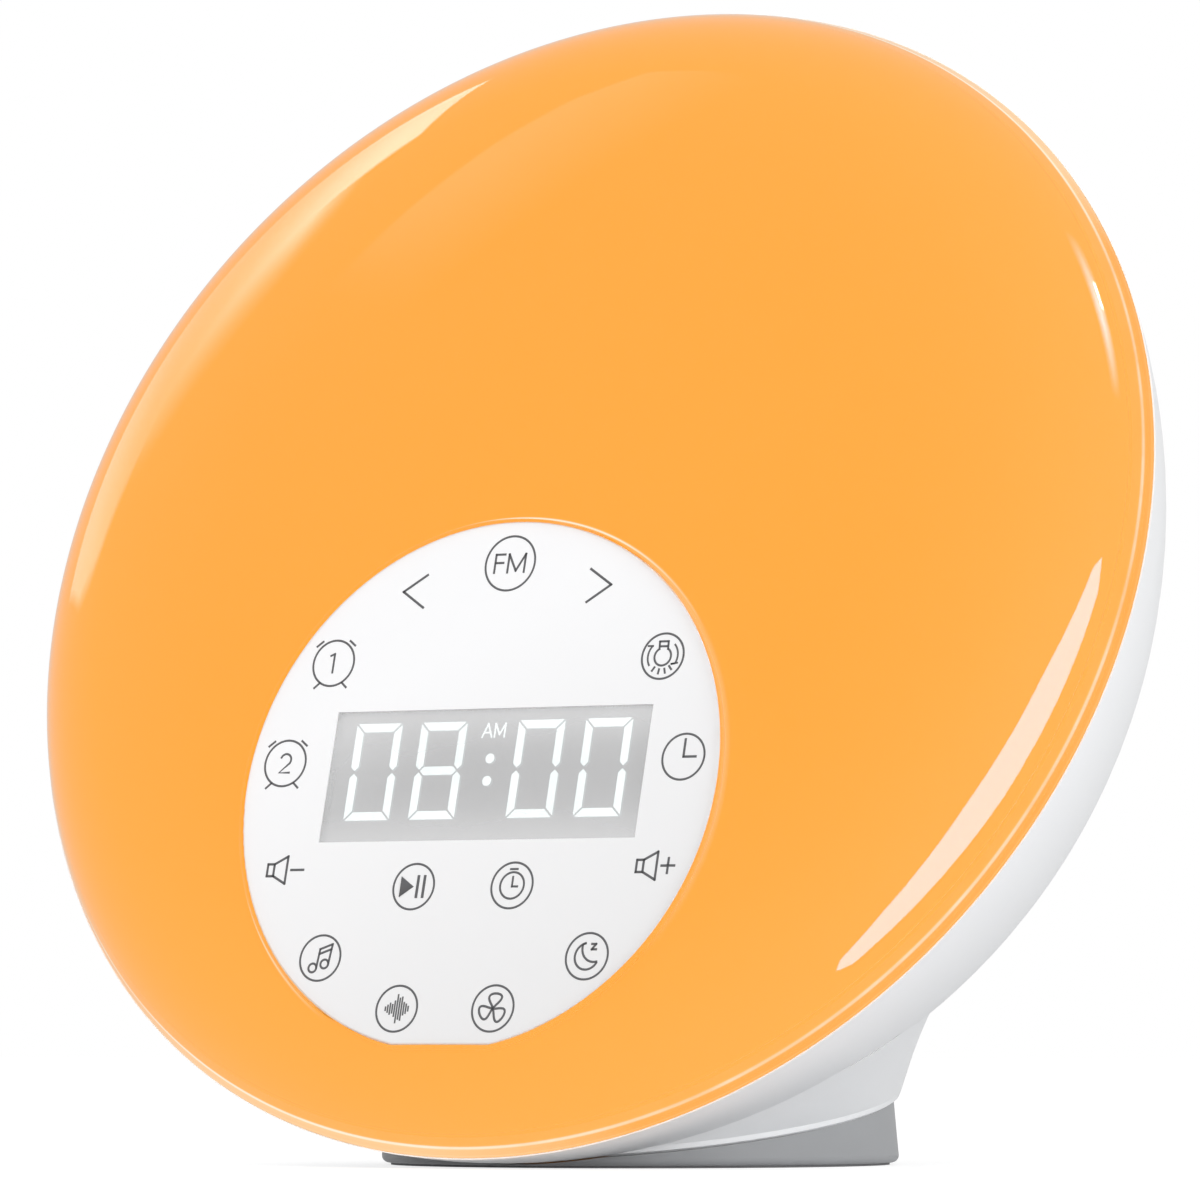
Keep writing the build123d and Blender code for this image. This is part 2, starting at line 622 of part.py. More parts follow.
# ---------------------------------------------------------------- the main board and what is on it
def main_board():
    left, right, bottom, top = BOARD_BOX
    size = (right - left, top - bottom)
    middle = ((left + right) / 2, (bottom + top) / 2)
    high = BOARD_BACK + BOARD_THICKNESS
    board = block(size, BOARD_BACK, high, middle) & ring(60.5, 0, BOARD_BACK - 1, high + 1)
    screws = []
    for place in BOARD_BOSSES:
        board -= ring(1.2, 0, BOARD_BACK - 1, high + 1, place)
        screws.append(screw(place, high, 6.5, 2.1, 0.8))
    keep("main_board", in_face(board))
    keep("board_screws", in_face(Compound(children=screws)))
    chips = [
        block((12.0, 12.0), high, high + 1.6, (-20, 30)),
        block((6.0, 8.6), high, high + 1.5, (-2, 22)),
        block((5.0, 6.0), high, high + 1.5, (-34, 27)),
        block((11.0, 11.0), high, high + 2.4, (-6, 40)),
        block((4.0, 4.0), high, high + 1.8, (-24, 43)),
    ]
    keep("main_chips", in_face(Compound(children=chips)))
    cans = [ring(3.1, 0, high, high + 7.0, spot) for spot in ((-12, 20), (-19.5, 20), (-36, 36))]
    keep("smoothing_capacitors", in_face(Compound(children=cans)))
    keep("clock_crystal", in_face(block((3.0, 8.0), high, high + 3.0, (-10, 28))))
    plugs = [block((10.0, 5.0), high, high + 6.0, spot) for spot in ((6, 40.5), (-29, 20))]
    keep("board_connectors", in_face(Compound(children=plugs)))


def power_inlet():
    x, y = JACK_PLACE
    body = block((10.4, 11.0), INNER_BACK + 0.4, BOARD_BACK - 0.05, (x, y))
    body += ring(4.4, 0, SHELL_BACK, INNER_BACK + 0.5, (x, y))
    body -= ring(2.85, 0, SHELL_BACK - 1, BOARD_BACK - 1.6, (x, y))
    keep("power_jack", in_face(body))
    keep("power_jack_pin", in_face(ring(1.0, 0, SHELL_BACK + 1.0, BOARD_BACK - 1.6, (x, y))))


def aerial_gland():
    body = ring(4.2, 0, SHELL_BACK - 0.9, SHELL_BACK, AERIAL_PLACE)
    body += ring(2.9, 0, SHELL_BACK, INNER_BACK, AERIAL_PLACE)
    body += ring(4.2, 0, INNER_BACK, INNER_BACK + 0.9, AERIAL_PLACE)
    body -= ring(0.8, 0, SHELL_BACK - 2, INNER_BACK + 2, AERIAL_PLACE)
    keep("aerial_gland", in_face(body))


def reset_key():
    wall = INNER_BACK + CLEAR
    body = ring(2.1, 0, SHELL_BACK + 0.3, -46.5, RESET_PLACE)
    body += ring(3.6, 0, wall, wall + 0.8, RESET_PLACE)
    keep("reset_button", in_face(body))
    switch = block((6.0, 6.0), BOARD_BACK - 3.0, BOARD_BACK - 0.05, RESET_PLACE)
    switch += ring(1.6, 0, BOARD_BACK - 3.6, BOARD_BACK - 3.0, RESET_PLACE)
    keep("reset_switch", in_face(switch))


# ---------------------------------------------------------------- the backup cell
def arc_segment(outer, inner, low, high, start, sweep):
    """A piece of a ring, from a start angle over a sweep."""
    full = ring(outer, inner, low, high)
    far = outer * 3
    first, last = math.radians(start), math.radians(start + sweep)
    wedge = Polyline(
        (0, 0),
        (far * math.cos(first), far * math.sin(first)),
        (far * math.cos(last), far * math.sin(last)),
        close=True,
    )
    return full & (Pos(0, 0, low) * extrude(make_face(wedge), high - low))


def backup_cell():
    place = Pos(LID_PLACE[0], LID_PLACE[1], 0)
    lid = ring(LID_RADIUS, 0, SHELL_BACK, INNER_BACK - 0.3)
    lid += ring(11.8, 10.6, INNER_BACK - 0.3, -47.5)
    for start in (0, 120, 240):
        lid += arc_segment(12.5, 11.5, -48.6, -47.6, start, 24)
    lid -= block((15.0, 2.0), SHELL_BACK - 1, SHELL_BACK + 1.0)
    keep("battery_lid", in_face(place * lid))

    holder = ring(14.6, 12.9, INNER_BACK + 0.05, -41.6)
    holder += ring(14.6, 0, -43.0, -41.6)
    for start in (-12, 108, 228):
        holder += arc_segment(13.2, 12.1, -49.7, -48.9, start, 48)
    holder += ring(12.9, 10.4, -46.6, -43.0)
    holder -= block((4.0, 3.2), -46.8, -43.0, (0, 11.6))
    keep("cell_holder", in_face(place * holder))

    keep("coin_cell", in_face(place * ring(10.0, 0, -46.4, -43.4)))
    keep("cell_contact_minus", in_face(place * ring(6.0, 2.5, -43.35, -43.05)))
    keep("cell_contact_plus", in_face(place * block((3.0, 1.2), -46.2, -43.1, (0, 11.0))))


# ---------------------------------------------------------------- build and write
front_lens()
light_diffuser()
control_panel()
display_window()
display_digits()
display_housing()
touch_electronics()
touch_screws()
panel_pod()
pod_screws()
light_reflector()
lamp_board()
inner_frame()
rear_shell()
base_foot()
speaker()
main_board()
power_inlet()
aerial_gland()
reset_key()
backup_cell()

os.makedirs("parts", exist_ok=True)
for name, shape in parts.items():
    export_step(shape, f"parts/{name}.step")
print(len(parts), "parts written")
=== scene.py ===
import math

import bmesh
import bpy
from mathutils import Matrix, Vector


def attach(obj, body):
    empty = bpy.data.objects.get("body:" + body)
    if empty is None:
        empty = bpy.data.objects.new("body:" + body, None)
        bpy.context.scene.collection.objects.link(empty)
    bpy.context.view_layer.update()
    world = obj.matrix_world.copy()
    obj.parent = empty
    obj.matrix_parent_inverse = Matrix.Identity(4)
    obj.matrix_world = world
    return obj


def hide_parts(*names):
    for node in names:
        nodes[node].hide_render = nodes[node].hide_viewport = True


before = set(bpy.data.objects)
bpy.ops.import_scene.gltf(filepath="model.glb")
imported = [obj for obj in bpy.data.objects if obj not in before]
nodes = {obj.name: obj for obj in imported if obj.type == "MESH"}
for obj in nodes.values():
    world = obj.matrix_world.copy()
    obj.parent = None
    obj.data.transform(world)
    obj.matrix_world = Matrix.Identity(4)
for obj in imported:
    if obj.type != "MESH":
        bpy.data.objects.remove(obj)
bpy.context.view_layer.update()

# Sunrise alarm clock. Shapes are written in millimetres in the face's or the panel's own frame and
# placed in metres: +X to the right as seen from the front, +Y to the back, +Z up.

# ---------------------------------------------------------------- driving dimensions
MM = 0.001
FACE_TILT = 21.3
PANEL_TILT = 15.6
FACE_CENTRE = (0, -18.0, 83.5)
PANEL_CENTRE = (0, -38.5, 12.7)

LENS_RADIUS = 89.1
DOME_RADIUS = 391.0
DOME_HEIGHT = 17.1
SHOULDER_RADIUS = 21.6
LENS_WALL = 2.2
LENS_BACK = -2.0
LIP = (85.2, 83.9, -5.0)   # outer and inner radius of the lens's lip, and its lower end
DIFFUSER_WALL = 1.6
DIFFUSER_BED = 0.05        # the diffuser lies in the back of the lens by this much
DIFFUSER_BACK = -0.9
EDGE_LIGHT_RADIUS = 86.10  # of the wall of the ring that lights the lens's edge, inside the lens
EDGE_LIGHT_TOP = -0.7
EDGE_LIGHT_BRIM = 87.2     # its outer radius under the lens
CLEAR_EDGE = (85.85, 86.00)    # the radii between which the lit edge turns from frosted to clear
EDGE_LINE = (86.07, 0.34)  # radius and half width of the pale line there
OUTER_LINE = (86.90, 0.16)     # and of the faint line outside it

PANEL_RADIUS = 37.6
PANEL_CHORD = -36.8
PANEL_GAP = 0.15
WELL_HIGHLIGHT_LINE = (38.14, 0.24)  # radius and half width of the painted highlight line around the panel's well
WELL_HIGHLIGHT_GLOW = (37.6, 0.9)    # and of the soft painted highlight at its right
WINDOW_CENTRE = (0.8, 1.27)

LINE_WIDTH = 0.30          # a printed line
LINE_HEIGHT = 0.02
HEAVY = 1.15               # weights of other lines, as multiples of a printed one
FIRM = 1.05
THIN = 0.9
CORNER_REACH = 0.42        # how far a stroke runs past its corner, as a multiple of its width
CURVE_POINTS = 8           # a line of more points than this is a curve and is printed in one piece
KEY_RADIUS = 3.22          # of the ring around the mark of a key

CAMERA_YAW = 30.497
CAMERA_PITCH = 3.377
CAMERA_PLACE = (530.96, -912.65, 17.05)
CAMERA_LENS = 225.0
SENSOR = 36.0

WORLD_LEVEL = 0.73         # of the light from all round
GLOSS_LEVEL = 0.68         # of the world where gloss shows it
FLOOR_SIZE = 6.0           # from the middle of the floor to its sides, in metres
FLOOR_TONE = (0.85, 0.85, 0.85, 1)
FLOOR_BOUNCE = (0.79, 0.80, 0.82, 1)   # the floor as the light that it throws back sees it
FLOOR_GLOW = 1.25          # a glow that makes the floor look white,
FLOOR_GLOW_SHARE = 0.62    # and its share in what is seen


# ---------------------------------------------------------------- frames and mesh helpers
def leaning_frame(origin, lean):
    """The frame that looks forward and up by the lean, from millimetres to the object's metres."""
    lean = math.radians(lean)
    up = Vector((0, math.sin(lean), math.cos(lean)))
    out = Vector((0, -math.cos(lean), math.sin(lean)))
    matrix = Matrix((Vector((1, 0, 0)), up, out)).transposed().to_4x4()
    matrix.translation = Vector(origin)
    return matrix


TO_METRES = Matrix.Scale(MM, 4)
FACE = leaning_frame(FACE_CENTRE, FACE_TILT)
PANEL = leaning_frame(FACE @ Vector(PANEL_CENTRE), PANEL_TILT)


def new_object(name, data):
    """An object in the scene that shows a mesh, a curve, a light or a camera."""
    made = bpy.data.objects.new(name, data)
    bpy.context.scene.collection.objects.link(made)
    return made


def smooth(mesh, angle=30.0):
    """Shade a mesh smooth, with sharp edges where its faces turn by more than the angle."""
    mesh.shade_smooth()
    mesh.set_sharp_from_angle(angle=math.radians(angle))


def turned(name, profile, segments=320):
    """A solid turned from a closed profile of (radius, height) whose ends lie on the axis or meet."""
    bm = bmesh.new()
    rings = []
    for radius, height in profile:
        if radius < 1e-6:
            rings.append([bm.verts.new((0, 0, height))])
            continue
        turns = [2 * math.pi * i / segments for i in range(segments)]
        rings.append([bm.verts.new((radius * math.cos(a), radius * math.sin(a), height)) for a in turns])
    on_axis = len(rings[0]) == 1
    pairs = list(zip(rings, rings[1:])) + ([] if on_axis else [(rings[-1], rings[0])])
    for lower, upper in pairs:
        for i in range(segments):
            j = (i + 1) % segments
            if len(lower) == 1 and len(upper) == 1:
                break
            if len(lower) == 1:
                bm.faces.new((lower[0], upper[i], upper[j]))
            elif len(upper) == 1:
                bm.faces.new((lower[i], lower[j], upper[0]))
            else:
                bm.faces.new((lower[i], lower[j], upper[j], upper[i]))
    bmesh.ops.recalc_face_normals(bm, faces=bm.faces)
    mesh = bpy.data.meshes.new(name)
    bm.to_mesh(mesh)
    bm.free()
    return new_object(name, mesh)


def panel_outline(grow, steps=180):
    """Points of the panel's outline, grown by a clearance: a circle with a straight cut at its bottom."""
    radius = PANEL_RADIUS + grow
    half = math.acos(-(PANEL_CHORD - grow) / radius)
    start = -math.pi / 2 + half
    sweep = 2 * (math.pi - half)
    return [(radius * math.cos(start + sweep * i / steps), radius * math.sin(start + sweep * i / steps))
            for i in range(steps + 1)]


def panel_prism(grow, low=-45.0, high=8.0):
    """A prism through the panel's outline, in the face's frame, to cut its well with."""
    bm = bmesh.new()
    floor = bm.faces.new([bm.verts.new((x, y, low)) for x, y in panel_outline(grow)])
    raised = bmesh.ops.extrude_face_region(bm, geom=[floor])
    for vert in [v for v in raised["geom"] if isinstance(v, bmesh.types.BMVert)]:
        vert.co.z = high
    bmesh.ops.recalc_face_normals(bm, faces=bm.faces)
    mesh = bpy.data.meshes.new("well")
    bm.to_mesh(mesh)
    bm.free()
    mesh.transform(FACE.inverted() @ PANEL)
    return new_object("well", mesh)


def cut_well(piece, grow):
    """Cut the panel's well out of a piece that is still in the face's frame."""
    prism = panel_prism(grow)
    cutter = piece.modifiers.new("well", "BOOLEAN")
    cutter.operation = "DIFFERENCE"
    cutter.solver = "EXACT"
    cutter.object = prism
    result = bpy.data.meshes.new_from_object(piece.evaluated_get(bpy.context.evaluated_depsgraph_get()))
    piece.modifiers.remove(cutter)
    old = piece.data
    piece.data = result
    bpy.data.meshes.remove(old)
    bpy.data.objects.remove(prism)


def settle(piece, placing, finish, slot, *stands_for):
    """Put a finished mesh in its place, dress it and let it ride on the clock."""
    piece.data.transform(TO_METRES @ placing)
    piece.data.materials.clear()
    piece.data.materials.append(finish)
    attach(piece, "clock")
    if stands_for:
        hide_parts(*stands_for)
    return piece


# ---------------------------------------------------------------- shader helpers
def add(tree, kind, settings=None, **sockets):
    """Add a node. settings holds its properties, and sockets its input values or the sockets to link."""
    node = tree.nodes.new(kind)
    for key, value in (settings or {}).items():
        setattr(node, key, value)
    for key, value in sockets.items():
        socket = node.inputs[key.replace("_", " ")]
        if isinstance(value, bpy.types.NodeSocket):
            tree.links.new(value, socket)
        else:
            socket.default_value = value
    return node


def maths(tree, operation, a, b=0.5, clamp=False):
    node = tree.nodes.new("ShaderNodeMath")
    node.operation = operation
    node.use_clamp = clamp
    for socket, value in zip(node.inputs, (a, b)):
        if isinstance(value, bpy.types.NodeSocket):
            tree.links.new(value, socket)
        else:
            socket.default_value = value
    return node.outputs[0]


def blend_colours(tree, factor, a, b):
    node = tree.nodes.new("ShaderNodeMix")
    node.data_type = "RGBA"
    for index, value in ((0, factor), (6, a), (7, b)):
        if isinstance(value, bpy.types.NodeSocket):
            tree.links.new(value, node.inputs[index])
        else:
            node.inputs[index].default_value = value
    return node.outputs[2]


def spread_range(tree, value, low, high, out_low, out_high):
    node = add(tree, "ShaderNodeMapRange", None, Value=value)
    for name, number in (("From Min", low), ("From Max", high), ("To Min", out_low), ("To Max", out_high)):
        if isinstance(number, bpy.types.NodeSocket):
            tree.links.new(number, node.inputs[name])
        else:
            node.inputs[name].default_value = number
    return node.outputs[0]


def noise(tree, coords, scale, detail=2.0, roughness=0.5):
    node = add(tree, "ShaderNodeTexNoise", None, Vector=coords, Scale=scale, Detail=detail,
               Roughness=roughness)
    return node.outputs["Fac"]


def dot(tree, coords, axis, origin=(0, 0, 0)):
    """How far a point lies along an axis from an origin in millimetres, in metres."""
    along = tree.nodes.new("ShaderNodeVectorMath")
    along.operation = "DOT_PRODUCT"
    tree.links.new(coords, along.inputs[0])
    along.inputs[1].default_value = axis
    return maths(tree, "SUBTRACT", along.outputs["Value"], Vector(origin).dot(axis) * MM)


def along_axes(tree, coords, placing, origin, count):
    """How far a point lies from an origin in millimetres along the first axes of a frame, in metres."""
    turn = placing.to_3x3()
    return [dot(tree, coords, turn @ axis, origin) for axis in Matrix.Identity(3)[:count]]


def slanted(tree, across, up, share_across, share_up):
    """How far a point lies along a slanting line, from its distances across and up."""
    sideways = maths(tree, "MULTIPLY", across, share_across)
    return maths(tree, "ADD", sideways, maths(tree, "MULTIPLY", up, share_up))


def from_middle(tree, across, up):
    """How far a point lies from the middle, from its distances across and up."""
    return maths(tree, "SQRT", slanted(tree, across, up, across, up))


def fade(tree, distance, start, end, low=0.0, high=1.0):
    """A value from low to high while a distance in metres goes from start to end in millimetres."""
    return spread_range(tree, distance, start * MM, end * MM, low, high)


def ridge(tree, distance, centre, width):
    """1 on the line at a distance, falling to 0 at a width on either side of it, in millimetres."""
    off = maths(tree, "ABSOLUTE", maths(tree, "SUBTRACT", distance, centre * MM))
    return fade(tree, off, 0.0, width, 1.0, 0.0)


def lead(tree, shader, **sockets):
    """Lead sockets to the shader's inputs of the same names."""
    for name, socket in sockets.items():
        tree.links.new(socket, shader.inputs[name.replace("_", " ")])


def emboss(tree, shader, height, strength, depth):
    """Raise a shader's surface by a height, with a strength and a depth in millimetres."""
    relief = add(tree, "ShaderNodeBump", None, Height=height, Strength=strength, Distance=depth * MM)
    lead(tree, shader, Normal=relief.outputs[0])


def new_group(name, inputs, outputs):
    """An empty shader node group with its sockets: inputs are (name, default, kind), outputs (name, kind)."""
    group = bpy.data.node_groups.new(name, "ShaderNodeTree")
    for socket_name, default, kind in inputs:
        socket = group.interface.new_socket(socket_name, in_out="INPUT", socket_type=kind)
        socket.default_value = default
    for socket_name, kind in outputs:
        group.interface.new_socket(socket_name, in_out="OUTPUT", socket_type=kind)
    entry = group.nodes.new("NodeGroupInput")
    leave = group.nodes.new("NodeGroupOutput")
    return group, entry.outputs, leave.inputs


FLOAT = "NodeSocketFloat"
COLOUR = "NodeSocketColor"
VECTOR = "NodeSocketVector"


def moulded_surface_group():
    """Moulded plastic: a slow drift of tone, a fine grain, uneven gloss and edges a little paler, partly worn
    and partly a painted sheen.
    """
    group, given, out = new_group(
        "moulded_surface",
        (("Vector", (0, 0, 0), VECTOR), ("Color", (0.8, 0.8, 0.8, 1), COLOUR), ("Roughness", 0.3, FLOAT),
         ("Grain Scale", 2500.0, FLOAT), ("Tone Spread", 0.03, FLOAT), ("Gloss Spread", 0.08, FLOAT),
         ("Edge Wear", 0.15, FLOAT)),
        (("Color", COLOUR), ("Roughness", FLOAT), ("Height", FLOAT)))
    link = group.links.new
    tone = noise(group, given["Vector"], 28.0, 3.0)
    darker = maths(group, "MULTIPLY", maths(group, "SUBTRACT", 1.0, tone), given["Tone Spread"])
    shaded = blend_colours(group, darker, given["Color"], (0.02, 0.02, 0.02, 1))
    # edges paler: partly worn, partly a painted sheen
    pointed = add(group, "ShaderNodeNewGeometry").outputs["Pointiness"]
    edge = spread_range(group, pointed, 0.52, 0.62, 0.0, 1.0)
    broken = maths(group, "MULTIPLY", edge, noise(group, given["Vector"], 420.0, 4.0), clamp=True)
    worn_edge_and_sheen = maths(group, "MULTIPLY", broken, given["Edge Wear"])
    link(blend_colours(group, worn_edge_and_sheen, shaded, (0.95, 0.95, 0.95, 1)), out["Color"])
    patches = noise(group, given["Vector"], 95.0, 4.0, 0.6)
    uneven = maths(group, "MULTIPLY", maths(group, "SUBTRACT", patches, 0.5), given["Gloss Spread"])
    uneven = maths(group, "ADD", uneven, maths(group, "MULTIPLY", worn_edge_and_sheen, 0.4))
    link(maths(group, "ADD", given["Roughness"], uneven), out["Roughness"])
    grain = noise(group, given["Vector"], given["Grain Scale"], 3.0, 0.6)
    link(grain, out["Height"])
    return group


def drawn_metal_group():
    """Plated or drawn metal: fine streaks, a few dull patches and bright edges, partly worn and partly a
    painted sheen.
    """
    group, given, out = new_group(
        "drawn_metal",
        (("Vector", (0, 0, 0), VECTOR), ("Color", (0.6, 0.6, 0.62, 1), COLOUR), ("Roughness", 0.3, FLOAT),
         ("Streak Scale", 900.0, FLOAT)),
        (("Color", COLOUR), ("Roughness", FLOAT), ("Height", FLOAT)))
    link = group.links.new
    stretched = add(group, "ShaderNodeMapping", None, Vector=given["Vector"], Scale=(1.0, 0.12, 1.0))
    streaks = noise(group, stretched.outputs[0], given["Streak Scale"], 4.0, 0.7)
    patches = noise(group, given["Vector"], 160.0, 3.0)
    # edges brighter: partly worn, partly a painted sheen
    pointed = add(group, "ShaderNodeNewGeometry").outputs["Pointiness"]
    edge = spread_range(group, pointed, 0.52, 0.6, 0.0, 0.35)
    dullness = maths(group, "MULTIPLY", patches, 0.25)
    dull = blend_colours(group, dullness, given["Color"], (0.25, 0.24, 0.23, 1))
    link(blend_colours(group, edge, dull, (0.9, 0.9, 0.9, 1)), out["Color"])
    uneven = maths(group, "MULTIPLY", maths(group, "SUBTRACT", streaks, 0.5), 0.25)
    link(maths(group, "ADD", given["Roughness"], uneven), out["Roughness"])
    link(streaks, out["Height"])
    return group


def circuit_group():
    """Solder mask over copper: straight tracks on a grid, with a paler mask where the copper lies."""
    group, given, out = new_group(
        "circuit_tracks",
        (("Vector", (0, 0, 0), VECTOR), ("Mask Color", (0.03, 0.2, 0.09, 1), COLOUR),
         ("Track Pitch", 700.0, FLOAT)),
        (("Color", COLOUR), ("Roughness", FLOAT), ("Height", FLOAT)))
    link = group.links.new
    bricks = add(group, "ShaderNodeTexBrick", {"offset": 0.37, "squash": 0.6}, Vector=given["Vector"],
                 Scale=given["Track Pitch"], Color1=(1, 1, 1, 1), Color2=(0.2, 0.2, 0.2, 1),
                 Mortar=(0, 0, 0, 1), Mortar_Size=0.012)
    copper = maths(group, "GREATER_THAN", bricks.outputs["Color"], 0.5)
    drift = noise(group, given["Vector"], 120.0)
    shade = maths(group, "MULTIPLY", drift, 0.2)
    mask = blend_colours(group, shade, given["Mask Color"], (0.01, 0.05, 0.03, 1))
    link(blend_colours(group, maths(group, "MULTIPLY", copper, 0.22), mask, (0.5, 0.6, 0.3, 1)), out["Color"])
    link(spread_range(group, drift, 0.3, 0.7, 0.28, 0.42), out["Roughness"])
    link(copper, out["Height"])
    return group


def woven_group():
    """Woven cloth or pressed fibre: two crossed sets of threads with uneven colour."""
    group, given, out = new_group(
        "woven_threads",
        (("Vector", (0, 0, 0), VECTOR), ("Color", (0.03, 0.03, 0.03, 1), COLOUR), ("Threads", 1800.0, FLOAT)),
        (("Color", COLOUR), ("Roughness", FLOAT), ("Height", FLOAT)))
    link = group.links.new
    height = None
    for direction in ("X", "Z"):
        wave = add(group, "ShaderNodeTexWave", {"wave_type": "BANDS", "bands_direction": direction},
                   Vector=given["Vector"], Scale=given["Threads"], Distortion=0.4)
        thread = wave.outputs["Fac"]
        height = thread if height is None else maths(group, "MAXIMUM", height, thread)
    fluff = noise(group, given["Vector"], 700.0, 4.0)
    lit = blend_colours(group, maths(group, "MULTIPLY", height, 0.3), given["Color"], (0.25, 0.25, 0.25, 1))
    link(blend_colours(group, maths(group, "MULTIPLY", fluff, 0.2), lit, (0.01, 0.01, 0.01, 1)), out["Color"])
    link(spread_range(group, fluff, 0.3, 0.7, 0.75, 0.95), out["Roughness"])
    link(height, out["Height"])
    return group


MOULDED = moulded_surface_group()
METAL = drawn_metal_group()
CIRCUIT = circuit_group()
WOVEN = woven_group()


def new_material(name):
    material = bpy.data.materials.new(name)
    material.use_nodes = True
    tree = material.node_tree
    coords = tree.nodes.new("ShaderNodeTexCoord").outputs["Object"]
    return material, tree, tree.nodes["Principled BSDF"], coords


def dress(tree, shader, group, bump, coords, **values):
    """Place a shared group in a material and lead its colour, roughness and height to the shader.

    bump is the strength and the depth in millimetres that the height is raised with.
    """
    node = tree.nodes.new("ShaderNodeGroup")
    node.node_tree = group
    tree.links.new(coords, node.inputs["Vector"])
    for key, value in values.items():
        node.inputs[key.replace("_", " ")].default_value = value
    lead(tree, shader, Base_Color=node.outputs["Color"], Roughness=node.outputs["Roughness"])
    emboss(tree, shader, node.outputs["Height"], *bump)
    return node


def plastic(name, colour, roughness=0.35, grain=0.1, wear_and_sheen=0.1, spread=0.04, specular=0.5):
    material, tree, shader, coords = new_material(name)
    dress(tree, shader, MOULDED, (grain, 0.02), coords, Color=(*colour, 1), Roughness=roughness,
          Edge_Wear=wear_and_sheen, Tone_Spread=spread)
    shader.inputs["Specular IOR Level"].default_value = specular
    return material


def metal(name, colour, roughness=0.3):
    material, tree, shader, coords = new_material(name)
    dress(tree, shader, METAL, (0.15, 0.01), coords, Color=(*colour, 1), Roughness=roughness)
    shader.inputs["Metallic"].default_value = 1.0
    return material


def board(name, colour):
    material, tree, shader, coords = new_material(name)
    dress(tree, shader, CIRCUIT, (0.3, 0.03), coords, Mask_Color=(*colour, 1))
    return material


def cloth(name, colour, threads=1800.0):
    material, tree, shader, coords = new_material(name)
    dress(tree, shader, WOVEN, (0.6, 0.08), coords, Color=(*colour, 1), Threads=threads)
    shader.inputs["Sheen Weight"].default_value = 0.3
    return material


# ---------------------------------------------------------------- the clock's own finishes
LAMP_ORANGE = (1.0, 0.365, 0.022)
LAMP_RIM_ORANGE = (1.0, 0.41, 0.055)


def clear_acrylic():
    """The polished lens. Its gloss has the faintest haze of handling."""
    material, tree, shader, coords = new_material("clear_acrylic")
    shader.inputs["Base Color"].default_value = (1.0, 0.985, 0.965, 1)
    shader.inputs["Transmission Weight"].default_value = 1.0
    shader.inputs["IOR"].default_value = 1.49
    haze = noise(tree, coords, 60.0, 3.0)
    lead(tree, shader, Roughness=spread_range(tree, haze, 0.55, 0.75, 0.0, 0.012))
    emboss(tree, shader, noise(tree, coords, 24.0, 1.0), 0.01, 0.02)
    return material


def well_painted_highlights(tree, coords):
    """A painted highlight around the panel's well: thin at its upper left, soft and faint at its right."""
    across, up = along_axes(tree, coords, PANEL, PANEL.translation, 2)
    radius = from_middle(tree, across, up)
    upper_left = fade(tree, maths(tree, "SUBTRACT", up, across), -14, 20)
    thin = maths(tree, "MULTIPLY", ridge(tree, radius, *WELL_HIGHLIGHT_LINE), upper_left)
    right = fade(tree, slanted(tree, across, up, 1.0, 0.3), 22, 36, 0.0, 0.2)
    return maths(tree, "MAXIMUM", thin, maths(tree, "MULTIPLY", ridge(tree, radius, *WELL_HIGHLIGHT_GLOW), right))


def lamp_glow(name, strength):
    """Frosted acrylic lit from behind: even orange, a little paler and yellower towards the rim, with a
    painted highlight around the panel's well.
    """
    material, tree, shader, coords = new_material(name)
    middle = tuple(-MM * place for place in FACE_CENTRE)
    placed = add(tree, "ShaderNodeMapping", {"vector_type": "POINT"}, Vector=coords, Location=middle)
    distance = add(tree, "ShaderNodeVectorMath", {"operation": "LENGTH"})
    tree.links.new(placed.outputs[0], distance.inputs[0])
    soft = maths(tree, "POWER", fade(tree, distance.outputs["Value"], 45, 88), 2.0)
    frost = noise(tree, coords, 1600.0, 3.0, 0.6)
    cloud = noise(tree, coords, 22.0, 2.0)
    colour = blend_colours(tree, soft, (*LAMP_ORANGE, 1), (*LAMP_RIM_ORANGE, 1))
    colour = blend_colours(tree, maths(tree, "MULTIPLY", cloud, 0.05), colour, (1.0, 0.5, 0.12, 1))
    # painted highlight: a pale line around the panel's well, mostly at its upper left
    colour = blend_colours(tree, well_painted_highlights(tree, coords), colour, (1.0, 0.92, 0.74, 1))
    shader.inputs["Emission Strength"].default_value = strength
    shader.inputs["Specular IOR Level"].default_value = 0.2
    lead(tree, shader, Emission_Color=colour,
         Base_Color=blend_colours(tree, frost, (0.1, 0.04, 0.008, 1), (0.14, 0.06, 0.012, 1)),
         Roughness=spread_range(tree, frost, 0.2, 0.8, 0.55, 0.75))
    emboss(tree, shader, frost, 0.2, 0.02)
    return material


